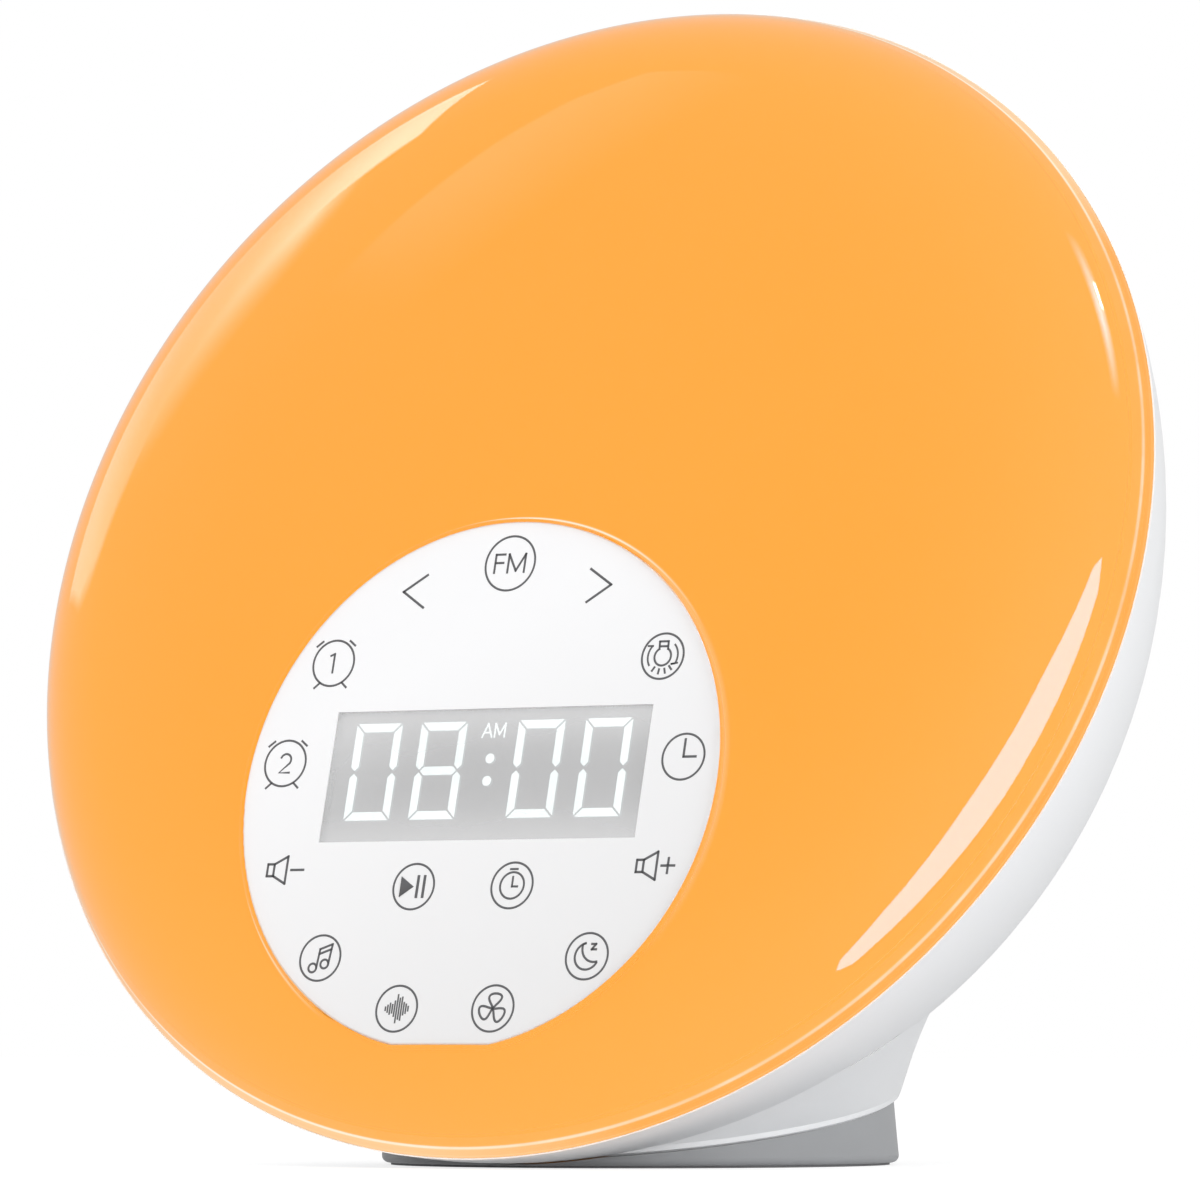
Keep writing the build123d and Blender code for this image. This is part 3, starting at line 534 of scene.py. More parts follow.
def edge_glow():
    """Clear edge over the lamp: orange, with a pale line where the frosted plate ends.

    It turns paler at the upper right and at the bottom with painted highlights, which also brighten the pale
    line there.
    """
    material, tree, shader, coords = new_material("edge_glow")
    across, up, out = along_axes(tree, coords, FACE, FACE_CENTRE, 3)
    radius = from_middle(tree, across, up)
    beyond = fade(tree, radius, *CLEAR_EDGE)
    # painted highlights: paler at the upper right and at the bottom of the rim
    upper_right_painted_highlight = fade(tree, slanted(tree, across, up, 0.35, 0.94), 68, 77, 0.0, 0.55)
    bottom_painted_highlight = fade(tree, slanted(tree, across, up, -0.30, -0.95), 70, 84, 0.0, 0.45)
    pale = maths(tree, "MULTIPLY", maths(tree, "MAXIMUM", upper_right_painted_highlight, bottom_painted_highlight), beyond)
    streaks = noise(tree, coords, 130.0, 3.0)
    rim = blend_colours(tree, beyond, (*LAMP_RIM_ORANGE, 1), (0.94, 0.385, 0.055, 1))
    outer = maths(tree, "MULTIPLY", ridge(tree, radius, *OUTER_LINE), 0.2)
    rim = blend_colours(tree, outer, rim, (1.0, 0.78, 0.48, 1))
    rim = blend_colours(tree, maths(tree, "MULTIPLY", streaks, 0.1), rim, (1.0, 0.70, 0.30, 1))
    toned = blend_colours(tree, pale, rim, (1.0, 0.80, 0.52, 1))
    line = maths(tree, "MULTIPLY", ridge(tree, radius, *EDGE_LINE), fade(tree, out, -1.3, -1.0))
    # the pale line is brighter where the painted highlights lie
    level = maths(tree, "ADD", spread_range(tree, streaks, 0.3, 0.7, 0.35, 0.75), pale)
    bright = maths(tree, "MULTIPLY", line, level)
    shader.inputs["Emission Strength"].default_value = 1.0
    lead(tree, shader, Emission_Color=blend_colours(tree, bright, toned, (1.0, 0.86, 0.66, 1)),
         Base_Color=blend_colours(tree, streaks, (0.05, 0.025, 0.006, 1), (0.09, 0.04, 0.01, 1)),
         Roughness=spread_range(tree, streaks, 0.3, 0.7, 0.4, 0.6))
    return material


def over_window(tree, coords):
    """How far a point lies from the middle of the display window, across and up, in metres."""
    return along_axes(tree, coords, PANEL, PANEL @ Vector((*WINDOW_CENTRE, 0)), 2)


def smoked_window():
    """The grey film of the display: thin and see-through, paler at its top and bottom, and paler at its upper
    left with painted light.
    """
    material, tree, shader, coords = new_material("smoked_window")
    across, up = over_window(tree, coords)
    cloud = noise(tree, coords, 70.0, 2.0)
    tint = blend_colours(tree, cloud, (0.50, 0.503, 0.503, 1), (0.53, 0.53, 0.53, 1))
    # painted light: paler towards the upper left
    painted_light_wash = fade(tree, slanted(tree, across, up, 1.0, -1.6), -34, -12, 1.0, 0.0)
    low = fade(tree, up, -9.5, -4.5, 1.0, 0.0)
    high = fade(tree, up, 3.5, 9.0)
    pale = maths(tree, "MULTIPLY", maths(tree, "MAXIMUM", maths(tree, "MAXIMUM", painted_light_wash, low), high), 0.4)
    lead(tree, shader, Base_Color=blend_colours(tree, pale, tint, (0.85, 0.85, 0.85, 1)),
         Roughness=spread_range(tree, cloud, 0.3, 0.7, 0.10, 0.18),
         Alpha=spread_range(tree, cloud, 0.3, 0.7, 0.36, 0.40))
    return material


def panel_film():
    """The white film of the control panel, a shade brighter towards its upper left as painted light."""
    material, tree, shader, coords = new_material("panel_film")
    # painted light: brighter at the upper left, darker at the lower right
    slant = PANEL.to_3x3() @ Vector((0.5, -0.87, 0))
    fall = fade(tree, dot(tree, coords, slant, PANEL.translation), -20, 36)
    tone = blend_colours(tree, fall, (0.95, 0.95, 0.955, 1), (0.83, 0.832, 0.835, 1))
    grain = dress(tree, shader, MOULDED, (0.03, 0.02), coords, Roughness=0.3, Edge_Wear=0.02,
                  Tone_Spread=0.015)
    tree.links.new(tone, grain.inputs["Color"])
    return material


def display_back_painted_glow():
    """The face of the display module: grey, a little darker behind the middle of the digits, and glowing with
    painted light so that it shows evenly lit.
    """
    material, tree, shader, coords = new_material("display_back_painted_glow")
    up = over_window(tree, coords)[1]
    lift = fade(tree, maths(tree, "ABSOLUTE", up), 1.5, 8.5)
    cloud = noise(tree, coords, 900.0, 2.0)
    grey = blend_colours(tree, lift, (0.59, 0.59, 0.595, 1), (0.74, 0.74, 0.745, 1))
    toned = blend_colours(tree, maths(tree, "MULTIPLY", cloud, 0.05), grey, (0.2, 0.2, 0.2, 1))
    # painted light: the module's face glows, though it is no lamp
    shader.inputs["Emission Strength"].default_value = 0.95
    lead(tree, shader, Emission_Color=toned,
         Base_Color=blend_colours(tree, 0.9, toned, (0.02, 0.02, 0.02, 1)),
         Roughness=spread_range(tree, cloud, 0.2, 0.8, 0.5, 0.7))
    return material


def digit_glow():
    """Cool white light bars that shine forward, with a faint fall-off in patches."""
    material, tree, shader, coords = new_material("digit_glow")
    cloud = noise(tree, coords, 500.0, 2.0)
    normal = add(tree, "ShaderNodeNewGeometry").outputs["Normal"]
    forward = dot(tree, normal, PANEL.to_3x3() @ Vector((0, 0, 1)))
    lead(tree, shader,
         Emission_Color=blend_colours(tree, cloud, (0.86, 0.98, 0.97, 1), (0.98, 1.0, 1.0, 1)),
         Emission_Strength=spread_range(tree, forward, 0.6, 0.8, 0.7, 1.8),
         Base_Color=blend_colours(tree, cloud, (0.1, 0.12, 0.12, 1), (0.16, 0.18, 0.18, 1)),
         Roughness=spread_range(tree, cloud, 0.3, 0.7, 0.4, 0.6))
    return material


# ---------------------------------------------------------------- the lens and the diffuser
def lens_side(depth, back, dome_steps=20, shoulder_steps=26):
    """The line at a depth under the lens's outer face, from the axis to a height at the back."""
    dome_z = DOME_HEIGHT - DOME_RADIUS
    shoulder_r = LENS_RADIUS - SHOULDER_RADIUS
    shoulder_z = dome_z + math.sqrt((DOME_RADIUS - SHOULDER_RADIUS) ** 2 - shoulder_r ** 2)
    meet = math.asin(shoulder_r / (DOME_RADIUS - SHOULDER_RADIUS))
    end = math.acos((back - shoulder_z) / (SHOULDER_RADIUS - depth))
    dome = [meet * i / dome_steps for i in range(dome_steps)]
    shoulder = [meet + (end - meet) * i / shoulder_steps for i in range(shoulder_steps + 1)]
    line = [((DOME_RADIUS - depth) * math.sin(a), dome_z + (DOME_RADIUS - depth) * math.cos(a)) for a in dome]
    bend = SHOULDER_RADIUS - depth
    return line + [(shoulder_r + bend * math.sin(a), shoulder_z + bend * math.cos(a)) for a in shoulder]


def build_lens(finish):
    """The clear lens: a dome with a round shoulder, a lip behind it and the well for the panel."""
    inner = [p for p in lens_side(LENS_WALL, LENS_BACK) if p[0] < LIP[1]]
    inner_end = (LIP[1], inner[-1][1])
    lip = [(LIP[0], LENS_BACK), (LIP[0], LIP[2]), (LIP[1], LIP[2]), inner_end]
    lens = turned("front_lens_shell", lens_side(0, LENS_BACK) + lip + inner[::-1])
    cut_well(lens, PANEL_GAP)
    smooth(lens.data)
    return settle(lens, FACE, finish, "lens_clear", "front_lens")


def build_diffuser(finish):
    """The lit plate that lines the lens as far as its clear side band."""
    depth = LENS_WALL - DIFFUSER_BED
    back = lens_side(depth + DIFFUSER_WALL, DIFFUSER_BACK)
    diffuser = turned("lit_diffuser", lens_side(depth, DIFFUSER_BACK) + back[::-1])
    cut_well(diffuser, PANEL_GAP)
    smooth(diffuser.data)
    return settle(diffuser, FACE, finish, "diffuser_lit", "light_diffuser")


def build_edge_light(finish):
    """The ring that lights the lens's edge: it stands in the lens's lip and lies under its back end."""
    lip_out, lip_in, lip_low = LIP
    inner = lip_in - 0.3
    wall = EDGE_LIGHT_RADIUS
    brim = EDGE_LIGHT_BRIM
    outer = lip_out + 0.1
    shelf = LENS_BACK + 0.04
    under = shelf - 0.1
    low = lip_low + 0.1
    profile = [(inner, EDGE_LIGHT_TOP), (wall, EDGE_LIGHT_TOP), (wall, shelf), (brim, shelf),
               (brim, under), (outer, under), (outer, low), (inner, low)]
    ring = turned("edge_light", profile)
    smooth(ring.data)
    return settle(ring, FACE, finish, "diffuser_lit")


def arc(centre, radius, start, end, steps=24):
    """Points on an arc between two angles, in millimetres."""
    turns = [math.radians(start + (end - start) * i / steps) for i in range(steps + 1)]
    return [(centre[0] + radius * math.cos(a), centre[1] + radius * math.sin(a)) for a in turns]


def hoop(radius, centre=(0, 0)):
    return arc(centre, radius, 0, 360, 64)


def mark_alarm(figure):
    lines = [(hoop(3.3), 1)]
    for side in (-1, 1):
        lines.append(([(side * 2.2, 3.2), (side * 3.1, 2.5)], 1))
        lines.append(([(side * 1.8, -2.85), (side * 2.6, -3.55)], 1))
    return lines + [(line, 1) for line in figure]


FIGURE_ONE = [[(-0.6, 1.1), (0, 1.35), (0, -1.35)]]
FIGURE_TWO = [arc((0, 0.5), 0.85, 165, -38) + [(-0.85, -1.35), (0.95, -1.35)]]


def mark_lamp():
    """A round key with a lamp, its rays and the two arrows of its level."""
    lines = [(hoop(KEY_RADIUS), 1), (arc((0, -0.05), 1.28, 122, 418), 1)]
    lines.append(([(-0.66, 1.0), (-0.74, 2.1), (0.62, 2.1), (0.66, 1.0)], 1))
    lines.append(([(-0.7, 1.4), (0.64, 1.4)], 1))
    lines.append((arc((0, 0), 2.32, 215, 140), THIN))
    lines.append(([(-1.72, 1.49), (-2.45, 1.49)], THIN))
    lines.append((arc((0, 0), 2.32, 46, -28), THIN))
    lines.append(([(1.95, -1.09), (1.5, -1.14), (2.4, -1.0)], THIN))
    for turn in (236, 261, 286, 310):
        ray = math.cos(math.radians(turn)), math.sin(math.radians(turn))
        lines.append(([(ray[0] * 1.86, ray[1] * 1.86), (ray[0] * 2.48, ray[1] * 2.48)], 1))
    return lines


def mark_clock():
    return [(hoop(KEY_RADIUS), 1), ([(0, 2.45), (0, 0), (1.9, 0)], HEAVY)]


def mark_volume(louder):
    lines = [([(-1.15, 0.85), (-2.2, 0.85), (-2.2, -0.85), (-1.15, -0.85)], HEAVY)]
    lines.append(([(-1.15, 0.85), (0.9, 1.95), (0.9, -1.95), (-1.15, -0.85), (-1.15, 0.85)], HEAVY))
    lines.append(([(1.65, 0), (3.65, 0)], HEAVY))
    if louder:
        lines.append(([(2.65, 1.05), (2.65, -1.05)], HEAVY))
    return lines


def mark_play():
    lines = [(hoop(KEY_RADIUS), 1), (((-2.1, 0, 2.9 / LINE_WIDTH), (0, 0, 0.1)), 1)]
    for place in (0.6, 1.6):
        lines.append(([(place, 1.45), (place, -1.45)], 0.42 / LINE_WIDTH))
    return lines


def mark_timer():
    hands = [(0, 1.2), (0, -0.15), (0.85, -0.15)]
    button = [(-0.55, 2.3), (0.55, 2.3)]
    return [(hoop(KEY_RADIUS), 1), (hoop(1.86), 1), (hands, 1), (button, 1)]


def mark_music():
    lines = [(hoop(KEY_RADIUS), 1), (hoop(0.62, (-1.04, -1.4)), FIRM), (hoop(0.62, (0.8, -0.85)), FIRM)]
    lines.append(([(-0.42, -1.4), (-0.2, 1.25), (1.7, 1.95), (1.42, -0.8)], FIRM))
    lines.append(([(-0.26, 0.55), (1.63, 1.25)], FIRM))
    return lines


def mark_moon():
    tips = (-0.3, 1.84), (1.7, -0.78)
    inner = arc((1.15, 1.2), 2.0, 162, 289)
    lines = [(hoop(KEY_RADIUS), 1), (arc((0, 0), 1.86, 99, 335), FIRM)]
    lines.append(([tips[0], *inner[1:-1], tips[1]], FIRM))
    lines.append(([(0.55, 1.7), (1.2, 1.7), (0.6, 0.95), (1.3, 0.95)], FIRM))
    return lines


def mark_sound():
    """A round key with a row of upright bars, low at the ends and tall in the middle."""
    heights = (0.45, 0.95, 1.5, 1.15, 2.1, 3.9, 2.9, 3.2, 1.7, 1.25, 0.6)
    lines = [(hoop(KEY_RADIUS), 1)]
    for number, height in enumerate(heights):
        place = 0.36 * (number - 5)
        lines.append(([(place, height / 2), (place, -height / 2)], 0.8))
    return lines


def mark_fan():
    """A round key with three broad blades that lean the way they turn."""
    lines = [(hoop(KEY_RADIUS), 1)]
    for blade in (87, 207, 327):
        cos, sin = math.cos(math.radians(blade)), math.sin(math.radians(blade))
        petal = []
        for i in range(33):
            turn = 2 * math.pi * i / 32
            along = 1.05 * (1 - math.cos(turn))
            across = 1.5 * math.sin(turn) * math.sin(turn / 2) ** 1.8 - 0.08 * along
            petal.append((along * cos - across * sin, along * sin + across * cos))
        lines.append((petal, 1.1))
    return lines


def mark_fm():
    lines = [(hoop(3.92), 1)]
    lines.append(([(-2.4, -1.32), (-2.4, 1.32), (-0.95, 1.32)], FIRM))
    lines.append(([(-2.4, 0.1), (-1.1, 0.1)], FIRM))
    lines.append(([(-0.3, -1.32), (-0.3, 1.32), (1.02, -1.1), (2.34, 1.32), (2.34, -1.32)], FIRM))
    return lines


def mark_step(side):
    return [([(side * -3.55, 2.35), (0, 0), (side * -3.55, -2.4)], HEAVY)]


MARKS = (
    ((0, 31.5), mark_fm()),
    ((-16.6, 27.9), mark_step(-1)),
    ((16.6, 27.9), mark_step(1)),
    ((-26.3, 17.8), mark_alarm(FIGURE_ONE)),
    ((-31.7, 3.4), mark_alarm(FIGURE_TWO)),
    ((26.3, 17.4), mark_lamp()),
    ((31.7, 3.1), mark_clock()),
    ((-29.7, -12.0), mark_volume(False)),
    ((29.0, -12.1), mark_volume(True)),
    ((-7.8, -14.6), mark_play()),
    ((7.8, -14.6), mark_timer()),
    ((-21.1, -24.6), mark_music()),
    ((21.1, -24.6), mark_moon()),
    ((-7.6, -31.8), mark_sound()),
    ((7.6, -31.8), mark_fan()),
)
AM_PLACE = (0.7, 7.8)
AM_LETTERS = (
    ([(-1.75, -0.95), (-1.0, 0.95), (-0.25, -0.95)], THIN),
    ([(-1.5, -0.3), (-0.5, -0.3)], 0.85),
    ([(0.2, -0.95), (0.2, 0.95), (0.98, -0.6), (1.76, 0.95), (1.76, -0.95)], THIN),
)


def stroke_tree():
    """Geometry nodes that lay a flat printed line of a given width and height along each curve."""
    tree = bpy.data.node_groups.new("printed_line", "GeometryNodeTree")
    tree.interface.new_socket("Geometry", in_out="INPUT", socket_type="NodeSocketGeometry")
    tree.interface.new_socket("Line Width", in_out="INPUT", socket_type=FLOAT)
    tree.interface.new_socket("Line Height", in_out="INPUT", socket_type=FLOAT)
    tree.interface.new_socket("Ink", in_out="INPUT", socket_type="NodeSocketMaterial")
    tree.interface.new_socket("Geometry", in_out="OUTPUT", socket_type="NodeSocketGeometry")
    given = tree.nodes.new("NodeGroupInput").outputs
    upright = add(tree, "GeometryNodeSetCurveNormal", {"mode": "Z_UP"}, Curve=given["Geometry"])
    section = add(tree, "GeometryNodeCurvePrimitiveQuadrilateral", None, Width=given["Line Width"],
                  Height=given["Line Height"])
    line = add(tree, "GeometryNodeCurveToMesh", None, Curve=upright.outputs[0])
    tree.links.new(section.outputs[0], line.inputs["Profile Curve"])
    line.inputs["Fill Caps"].default_value = True
    if "Scale" in line.inputs:
        tree.links.new(add(tree, "GeometryNodeInputRadius").outputs[0], line.inputs["Scale"])
    real = add(tree, "GeometryNodeRealizeInstances", None, Geometry=line.outputs[0])
    inked = add(tree, "GeometryNodeSetMaterial", None, Geometry=real.outputs[0], Material=given["Ink"])
    leave = tree.nodes.new("NodeGroupOutput")
    tree.links.new(inked.outputs[0], leave.inputs[0])
    return tree


def sharp_strokes(lines):
    """Part every line of few points into straight strokes that overlap at its corners.

    A point may hold its own weight as a third number, and its line then stays whole.
    """
    strokes = []
    for points, weight in lines:
        if len(points) > CURVE_POINTS or len(points[0]) == 3:
            strokes.append((points, weight))
            continue
        for start, end in zip(points, points[1:]):
            reach = (Vector(end) - Vector(start)).normalized() * LINE_WIDTH * weight * CORNER_REACH
            strokes.append(([tuple(Vector(start) - reach), tuple(Vector(end) + reach)], weight))
    return strokes


def printed(name, tree, marks, height, ink, slot):
    """Print marks on the panel at a height over its face: each is a place and its lines."""
    curve = bpy.data.curves.new(name, "CURVE")
    curve.dimensions = "3D"
    for (x, y), lines in marks:
        for points, weight in sharp_strokes(lines):
            spline = curve.splines.new("POLY")
            spline.points.add(len(points) - 1)
            for point, place in zip(spline.points, points):
                point.co = (place[0] + x, place[1] + y, height, 1)
                point.radius = place[2] if len(place) == 3 else weight
            meets = math.dist(points[0][:2], points[-1][:2]) < 1e-6
            spline.use_cyclic_u = len(points) > CURVE_POINTS and meets
    drawing = new_object(name + "_curves", curve)
    strokes = drawing.modifiers.new("strokes", "NODES")
    strokes.node_group = tree
    sizes = {"Line Width": LINE_WIDTH, "Line Height": LINE_HEIGHT, "Ink": ink}
    for item in tree.interface.items_tree:
        if item.in_out == "INPUT" and item.name in sizes:
            strokes[item.identifier] = sizes[item.name]
    result = bpy.data.meshes.new_from_object(drawing.evaluated_get(bpy.context.evaluated_depsgraph_get()))
    bpy.data.objects.remove(drawing)
    return settle(new_object(name, result), PANEL, ink, slot)


# ---------------------------------------------------------------- dress the carried-over nodes
def dress_nodes():
    """Give every node that keeps its own shape the finish of what it is made of."""
    shell = plastic("shell_white", (0.845, 0.85, 0.855), 0.34, 0.05, 0.05, 0.02)
    panel = panel_film()
    black = plastic("moulded_black", (0.02, 0.02, 0.021), 0.4, 0.15, 0.1)
    white = plastic("moulded_white", (0.75, 0.75, 0.73), 0.5, 0.1, 0.05)
    rubber = plastic("soft_rubber", (0.03, 0.03, 0.03), 0.75, 0.5, 0.05, 0.1)
    steel = metal("zinc_steel", (0.55, 0.56, 0.58), 0.32)
    brass = metal("sprung_brass", (0.7, 0.5, 0.2), 0.28)
    bright = metal("polished_can", (0.72, 0.72, 0.74), 0.16)
    green = board("green_board", (0.02, 0.16, 0.07))
    cream = plastic("connector_cream", (0.7, 0.66, 0.5), 0.45, 0.1)
    finishes = {
        shell: ("rear_shell", "battery_lid", "reset_button"),
        panel: ("control_panel",),
        plastic("foot_grey", (0.36, 0.366, 0.375), 0.5, 0.2, 0.06, 0.03): ("base_foot",),
        plastic("sole_grey", (0.24, 0.24, 0.245), 0.8, 0.5, 0.05, 0.1): ("foot_sole",),
        rubber: ("aerial_gland", "speaker_gasket", "speaker_surround"),
        black: ("power_jack", "cell_holder", "speaker_clamp", "main_chips", "touch_chip", "reset_switch"),
        white: ("panel_pod", "inner_frame"),
        board("white_board", (0.72, 0.72, 0.7)): ("lamp_board",),
        green: ("touch_board", "main_board"),
        cream: ("board_connectors", "touch_connector"),
        steel: ("touch_screws", "pod_screws", "lamp_screws", "frame_screws", "foot_screws", "speaker_screws",
                "board_screws", "foot_weight", "speaker_frame", "speaker_magnet"),
        brass: ("power_jack_pin", "cell_contact_minus", "cell_contact_plus", "touch_pads"),
        bright: ("coin_cell", "clock_crystal", "smoothing_capacitors"),
        cloth("speaker_cloth_weave", (0.02, 0.02, 0.02)): ("speaker_cloth",),
        cloth("pressed_paper", (0.05, 0.05, 0.05), 900.0): ("speaker_cone",),
        smoked_window(): ("display_window",),
        display_back_painted_glow(): ("display_housing",),
        digit_glow(): ("display_digits",),
        # painted light: the reflector glows in the lamp's colour, though it is no lamp
        lamp_glow("tray_painted_glow", 0.8): ("light_reflector",),
        lamp_glow("lamp_phosphor", 1.0): ("lamp_leds",),
    }
    for finish, names in finishes.items():
        for name in names:
            mesh = nodes[name].data
            for index in range(len(mesh.materials)):
                mesh.materials[index] = finish


# ---------------------------------------------------------------- the studio
def edge_mask(tree, spot, place, across, up, shape, softness):
    """1 inside a convex outline drawn on a light, 0 outside it, fading over the softness of each side."""
    sides = list(zip(shape, shape[1:] + shape[:1]))
    turning = sum(a[0] * b[1] - a[1] * b[0] for a, b in sides)
    mask = 1.0
    for number, (start, end) in enumerate(sides):
        side = Vector((end[0] - start[0], end[1] - start[1])).normalized()
        inward = (across * -side.y + up * side.x) * (1 if turning > 0 else -1)
        depth = dot(tree, spot, inward, place + across * start[0] + up * start[1])
        within = fade(tree, depth, 0.0, softness[number % len(softness)])
        mask = maths(tree, "MULTIPLY", within, mask)
    return mask


def level_ramp(tree, rise, levels):
    """The level at a rise up a light, smooth through pairs of a height in millimetres and a level."""
    first, last = levels[0][0], levels[-1][0]
    ramp = add(tree, "ShaderNodeValToRGB", None, Fac=fade(tree, rise, first, last))
    ramp.color_ramp.interpolation = "B_SPLINE"
    while len(ramp.color_ramp.elements) < len(levels):
        ramp.color_ramp.elements.new(0.5)
    for stop, (height, level) in zip(ramp.color_ramp.elements, levels):
        stop.position = (height - first) / (last - first)
        stop.color = (level, level, level, 1)
    return ramp.outputs["Color"]


def softbox(name, place, aim, shape, radiance, colour=(1, 1, 1), softness=None, levels=None, fall=None,
            only=None):
    """A light at a place that looks at an aim, masked to a convex outline drawn on it in millimetres.

    softness holds the width of each side's fade, levels pairs of a height up the light and the level
    there, fall two pairs of a distance across it and the level there, and only the collection that it
    lights. A light with a softness shows as a reflection, and one without it only lights.
    """
    place = Vector(place)
    out = (place - Vector(aim)).normalized()
    across = Vector((0, 0, 1)).cross(out).normalized()
    up = out.cross(across)
    low = [min(p[axis] for p in shape) for axis in (0, 1)]
    high = [max(p[axis] for p in shape) for axis in (0, 1)]
    data = bpy.data.lights.new(name, "AREA")
    data.shape = "RECTANGLE"
    data.size, data.size_y = [(b - a) * MM for a, b in zip(low, high)]
    data.color = colour
    data.energy = radiance * math.pi * data.size * data.size_y
    lamp = new_object(name, data)
    middle = place + across * (low[0] + high[0]) / 2 + up * (low[1] + high[1]) / 2
    turn = Matrix((across, up, out)).transposed().to_4x4()
    lamp.matrix_world = Matrix.Translation(middle * MM) @ turn
    lamp.visible_camera = False
    if only:
        lamp.light_linking.receiver_collection = only
    if not softness:
        lamp.visible_glossy = False
        return
    lamp.visible_diffuse = False
    data.use_nodes = True
    tree = data.node_tree
    spot = add(tree, "ShaderNodeNewGeometry").outputs["Position"]
    strength = edge_mask(tree, spot, place, across, up, shape, softness)
    if levels:
        strength = maths(tree, "MULTIPLY", strength, level_ramp(tree, dot(tree, spot, up, place), levels))
    if fall:
        (start, first), (end, last) = fall
        fading = fade(tree, dot(tree, spot, across, place), start, end, first, last)
        strength = maths(tree, "MULTIPLY", strength, fading)
    tree.links.new(strength, tree.nodes["Emission"].inputs["Strength"])


def square(size):
    half = size / 2
    return [(-half, -half), (half, -half), (half, half), (-half, half)]


def strip(centre, length, width, angle):
    """The corners of a long rectangle on a light."""
    aim = math.radians(angle)
    along = Vector((math.cos(aim), math.sin(aim))) * length / 2
    side = Vector((-math.sin(aim), math.cos(aim))) * width / 2
    middle = Vector(centre)
    return [tuple(middle + a * along + b * side) for a, b in ((-1, -1), (1, -1), (1, 1), (-1, 1))]


def build_floor():
    """A pale floor that looks white and keeps the shadow."""
    mesh = bpy.data.meshes.new("floor")
    mesh.from_pydata([(x, y, 0) for x, y in square(2 * FLOOR_SIZE)], [], [(0, 1, 2, 3)])
    floor = new_object("floor", mesh)
    material = bpy.data.materials.new("pale_floor")
    material.use_nodes = True
    tree = material.node_tree
    shader = tree.nodes["Principled BSDF"]
    path = add(tree, "ShaderNodeLightPath").outputs
    lead(tree, shader, Base_Color=blend_colours(tree, path["Is Diffuse Ray"], FLOOR_TONE, FLOOR_BOUNCE))
    shader.inputs["Roughness"].default_value = 0.9
    shader.inputs["Specular IOR Level"].default_value = 0.0
    glow = add(tree, "ShaderNodeEmission", None, Strength=FLOOR_GLOW)
    seen = maths(tree, "MAXIMUM", path["Is Camera Ray"], path["Is Glossy Ray"])
    seen = maths(tree, "MAXIMUM", seen, path["Is Transmission Ray"])
    mix = add(tree, "ShaderNodeMixShader", None, Fac=maths(tree, "MULTIPLY", seen, FLOOR_GLOW_SHARE))
    tree.links.new(shader.outputs[0], mix.inputs[1])
    tree.links.new(glow.outputs[0], mix.inputs[2])
    tree.links.new(mix.outputs[0], tree.nodes["Material Output"].inputs["Surface"])
    mesh.materials.append(material)
    floor.visible_glossy = False


def build_world():
    """A white world that reflections show a little darker than it lights."""
    world = bpy.data.worlds.new("studio")
    bpy.context.scene.world = world
    world.use_nodes = True
    tree = world.node_tree
    background = tree.nodes["Background"]
    background.inputs["Color"].default_value = (1, 1, 1, 1)
    path = add(tree, "ShaderNodeLightPath").outputs
    level = spread_range(tree, path["Is Glossy Ray"], 0.0, 1.0, WORLD_LEVEL, GLOSS_LEVEL)
    seen = maths(tree, "MAXIMUM", level, path["Is Camera Ray"])
    tree.links.new(seen, background.inputs["Strength"])


def build_camera():
    data = bpy.data.cameras.new("camera")
    data.lens = CAMERA_LENS
    data.sensor_width = SENSOR
    data.sensor_fit = "HORIZONTAL"
    data.clip_start = 0.05
    camera = new_object("camera", data)
    camera.location = Vector(CAMERA_PLACE) * MM
    camera.rotation_euler = (math.radians(90 + CAMERA_PITCH), 0, math.radians(CAMERA_YAW))
    bpy.context.scene.camera = camera


# Outlines and levels of the lights that show in the lens, in millimetres on each light.
LEFT_SHAPE = [(-430, 280), (-330, -430), (10, -330), (172, -215), (284, -35), (212, 200), (115, 280)]
LEFT_LEVELS = ((-260, 0.42), (-120, 0.28), (-40, 0.22), (40, 0.26), (100, 0.40), (160, 0.62), (240, 1.0))
RIGHT_SHAPE = [(319, 425), (319, 334), (84, -44), (-156, -350), (-215, -350), (-242, -290), (-205, -155),
               (-110, 50), (31, 238), (242, 410)]
SPOT_SHAPE = strip((-16, -43), 88, 38, 39)
STREAK_SHAPE = strip((-92, -58), 500, 130, 39)
SHEEN_SHAPE = [(-62, -150), (-56, -49), (-40, 40), (-16, 113), (14, 200), (46, 280), (130, 280), (48, -150)]
SHEEN_LEVELS = ((-150, 0.2), (-90, 0.55), (-40, 0.9), (20, 1.0), (110, 1.3), (200, 0.75), (280, 0.3))


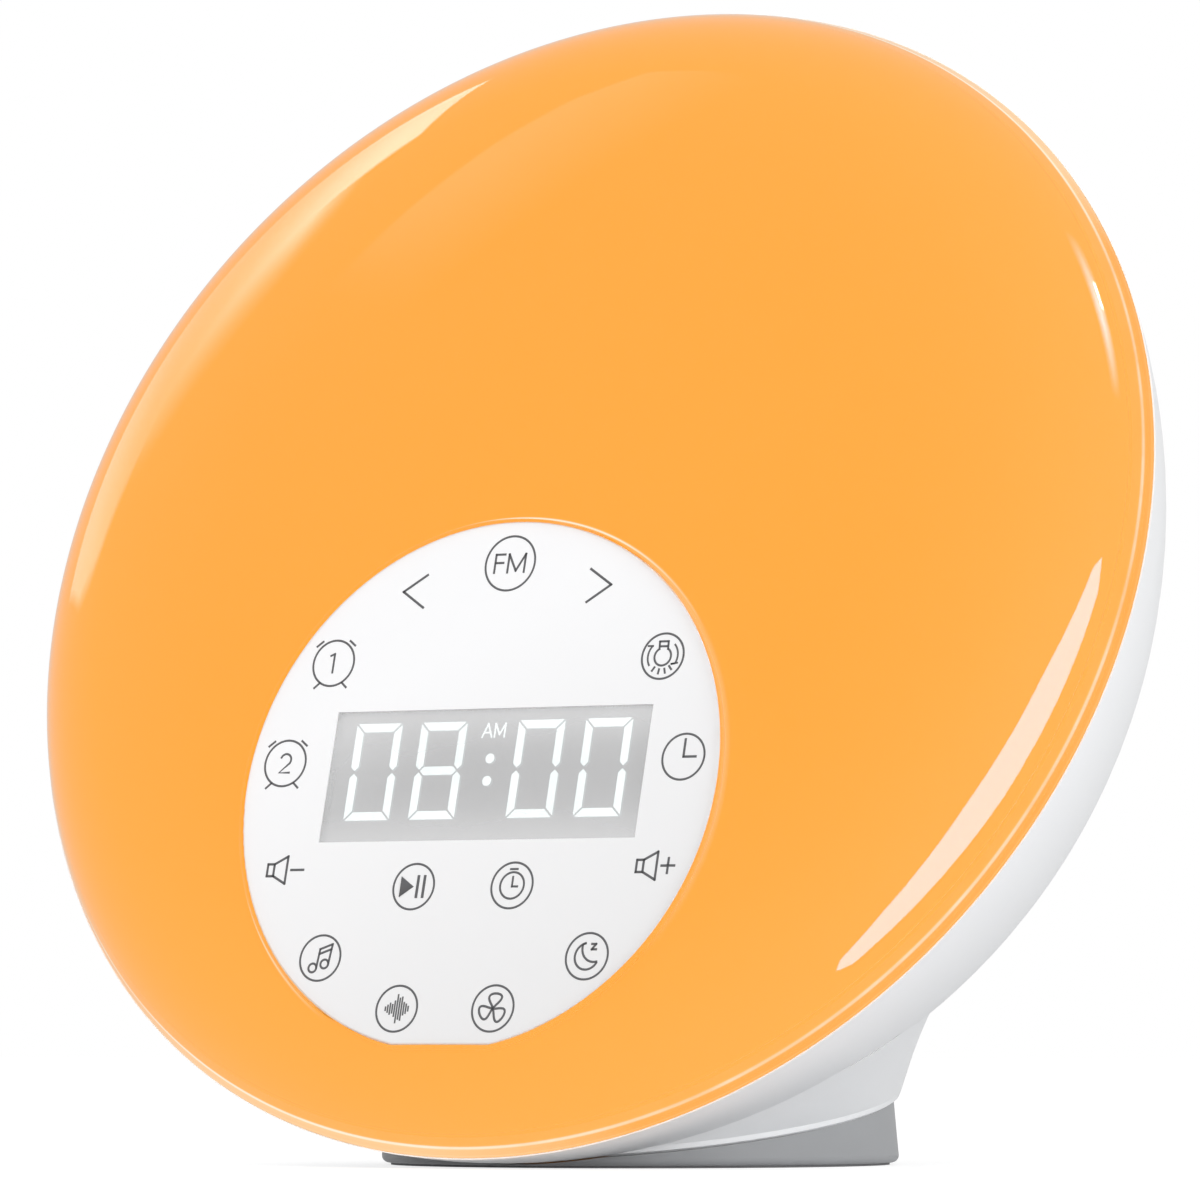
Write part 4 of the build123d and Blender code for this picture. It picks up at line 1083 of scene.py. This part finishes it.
def collection_of(name, piece):
    """A collection that holds one piece, so that a light can be kept to it."""
    group = bpy.data.collections.new(name)
    group.objects.link(piece)
    return group


def light_lens(lens):
    """The two crescents, the spot with its streak and the faint sheen that the lens shows."""
    on_lens = collection_of("on_lens", lens)
    softbox("left_strip", (-871, -47, 699), (-59, -16, 117), LEFT_SHAPE, 7.4, (0.8, 0.94, 1.0),
            (30, 20, 40, 40, 45, 40, 8), LEFT_LEVELS, fall=((-300, 0.45), (200, 1.0)), only=on_lens)
    softbox("right_strip", (550, -391, -10), (71, -35, 50), RIGHT_SHAPE, 14.0, (0.2, 0.57, 0.93), (6,),
            only=on_lens)
    softbox("back_spot", (538, 243, 963), (74, -7, 120), SPOT_SHAPE, 26.0, (1, 1, 1), (12,), only=on_lens)
    softbox("back_streak", (541, 245, 968), (74, -7, 120), STREAK_SHAPE, 13.0, (0.3, 0.66, 1.0), (60, 230),
            only=on_lens)
    softbox("upper_sheen", (-663, -343, 966), (-20, -11, 138), SHEEN_SHAPE, 0.8, (0.9, 0.95, 1.0),
            (5, 5, 5, 5, 5, 60, 100, 60), SHEEN_LEVELS, only=on_lens)


def light_all():
    """The lights that shape the clock, and one that only fills the shadow on the white shell."""
    softbox("key", (-900, -1300, 1500), (0, 0, 90), square(900), 4.7)
    softbox("low_fill", (1500, -450, 180), (0, 0, 50), square(900), 4.9)
    softbox("front_fill", (700, -1400, 40), (0, -20, 20), square(700), 9.0, (0.96, 0.985, 1.0),
            only=collection_of("on_shell", nodes["rear_shell"]))


# ---------------------------------------------------------------- make everything
build_camera()
dress_nodes()
lens = build_lens(clear_acrylic())
build_diffuser(lamp_glow("lit_diffuser", 1.0))
build_edge_light(edge_glow())
strokes = stroke_tree()
ink = plastic("printed_grey", (0.12, 0.122, 0.128), 0.45, 0.05, 0.0, 0.05)
printed("panel_marks", strokes, MARKS, LINE_HEIGHT / 2, ink, "foot_grey")
printed("am_mark", strokes, ((AM_PLACE, AM_LETTERS),), -1.0, digit_glow(), "digit_light")
light_lens(lens)
light_all()
build_floor()
build_world()

bpy.context.scene.view_settings.view_transform = "Standard"
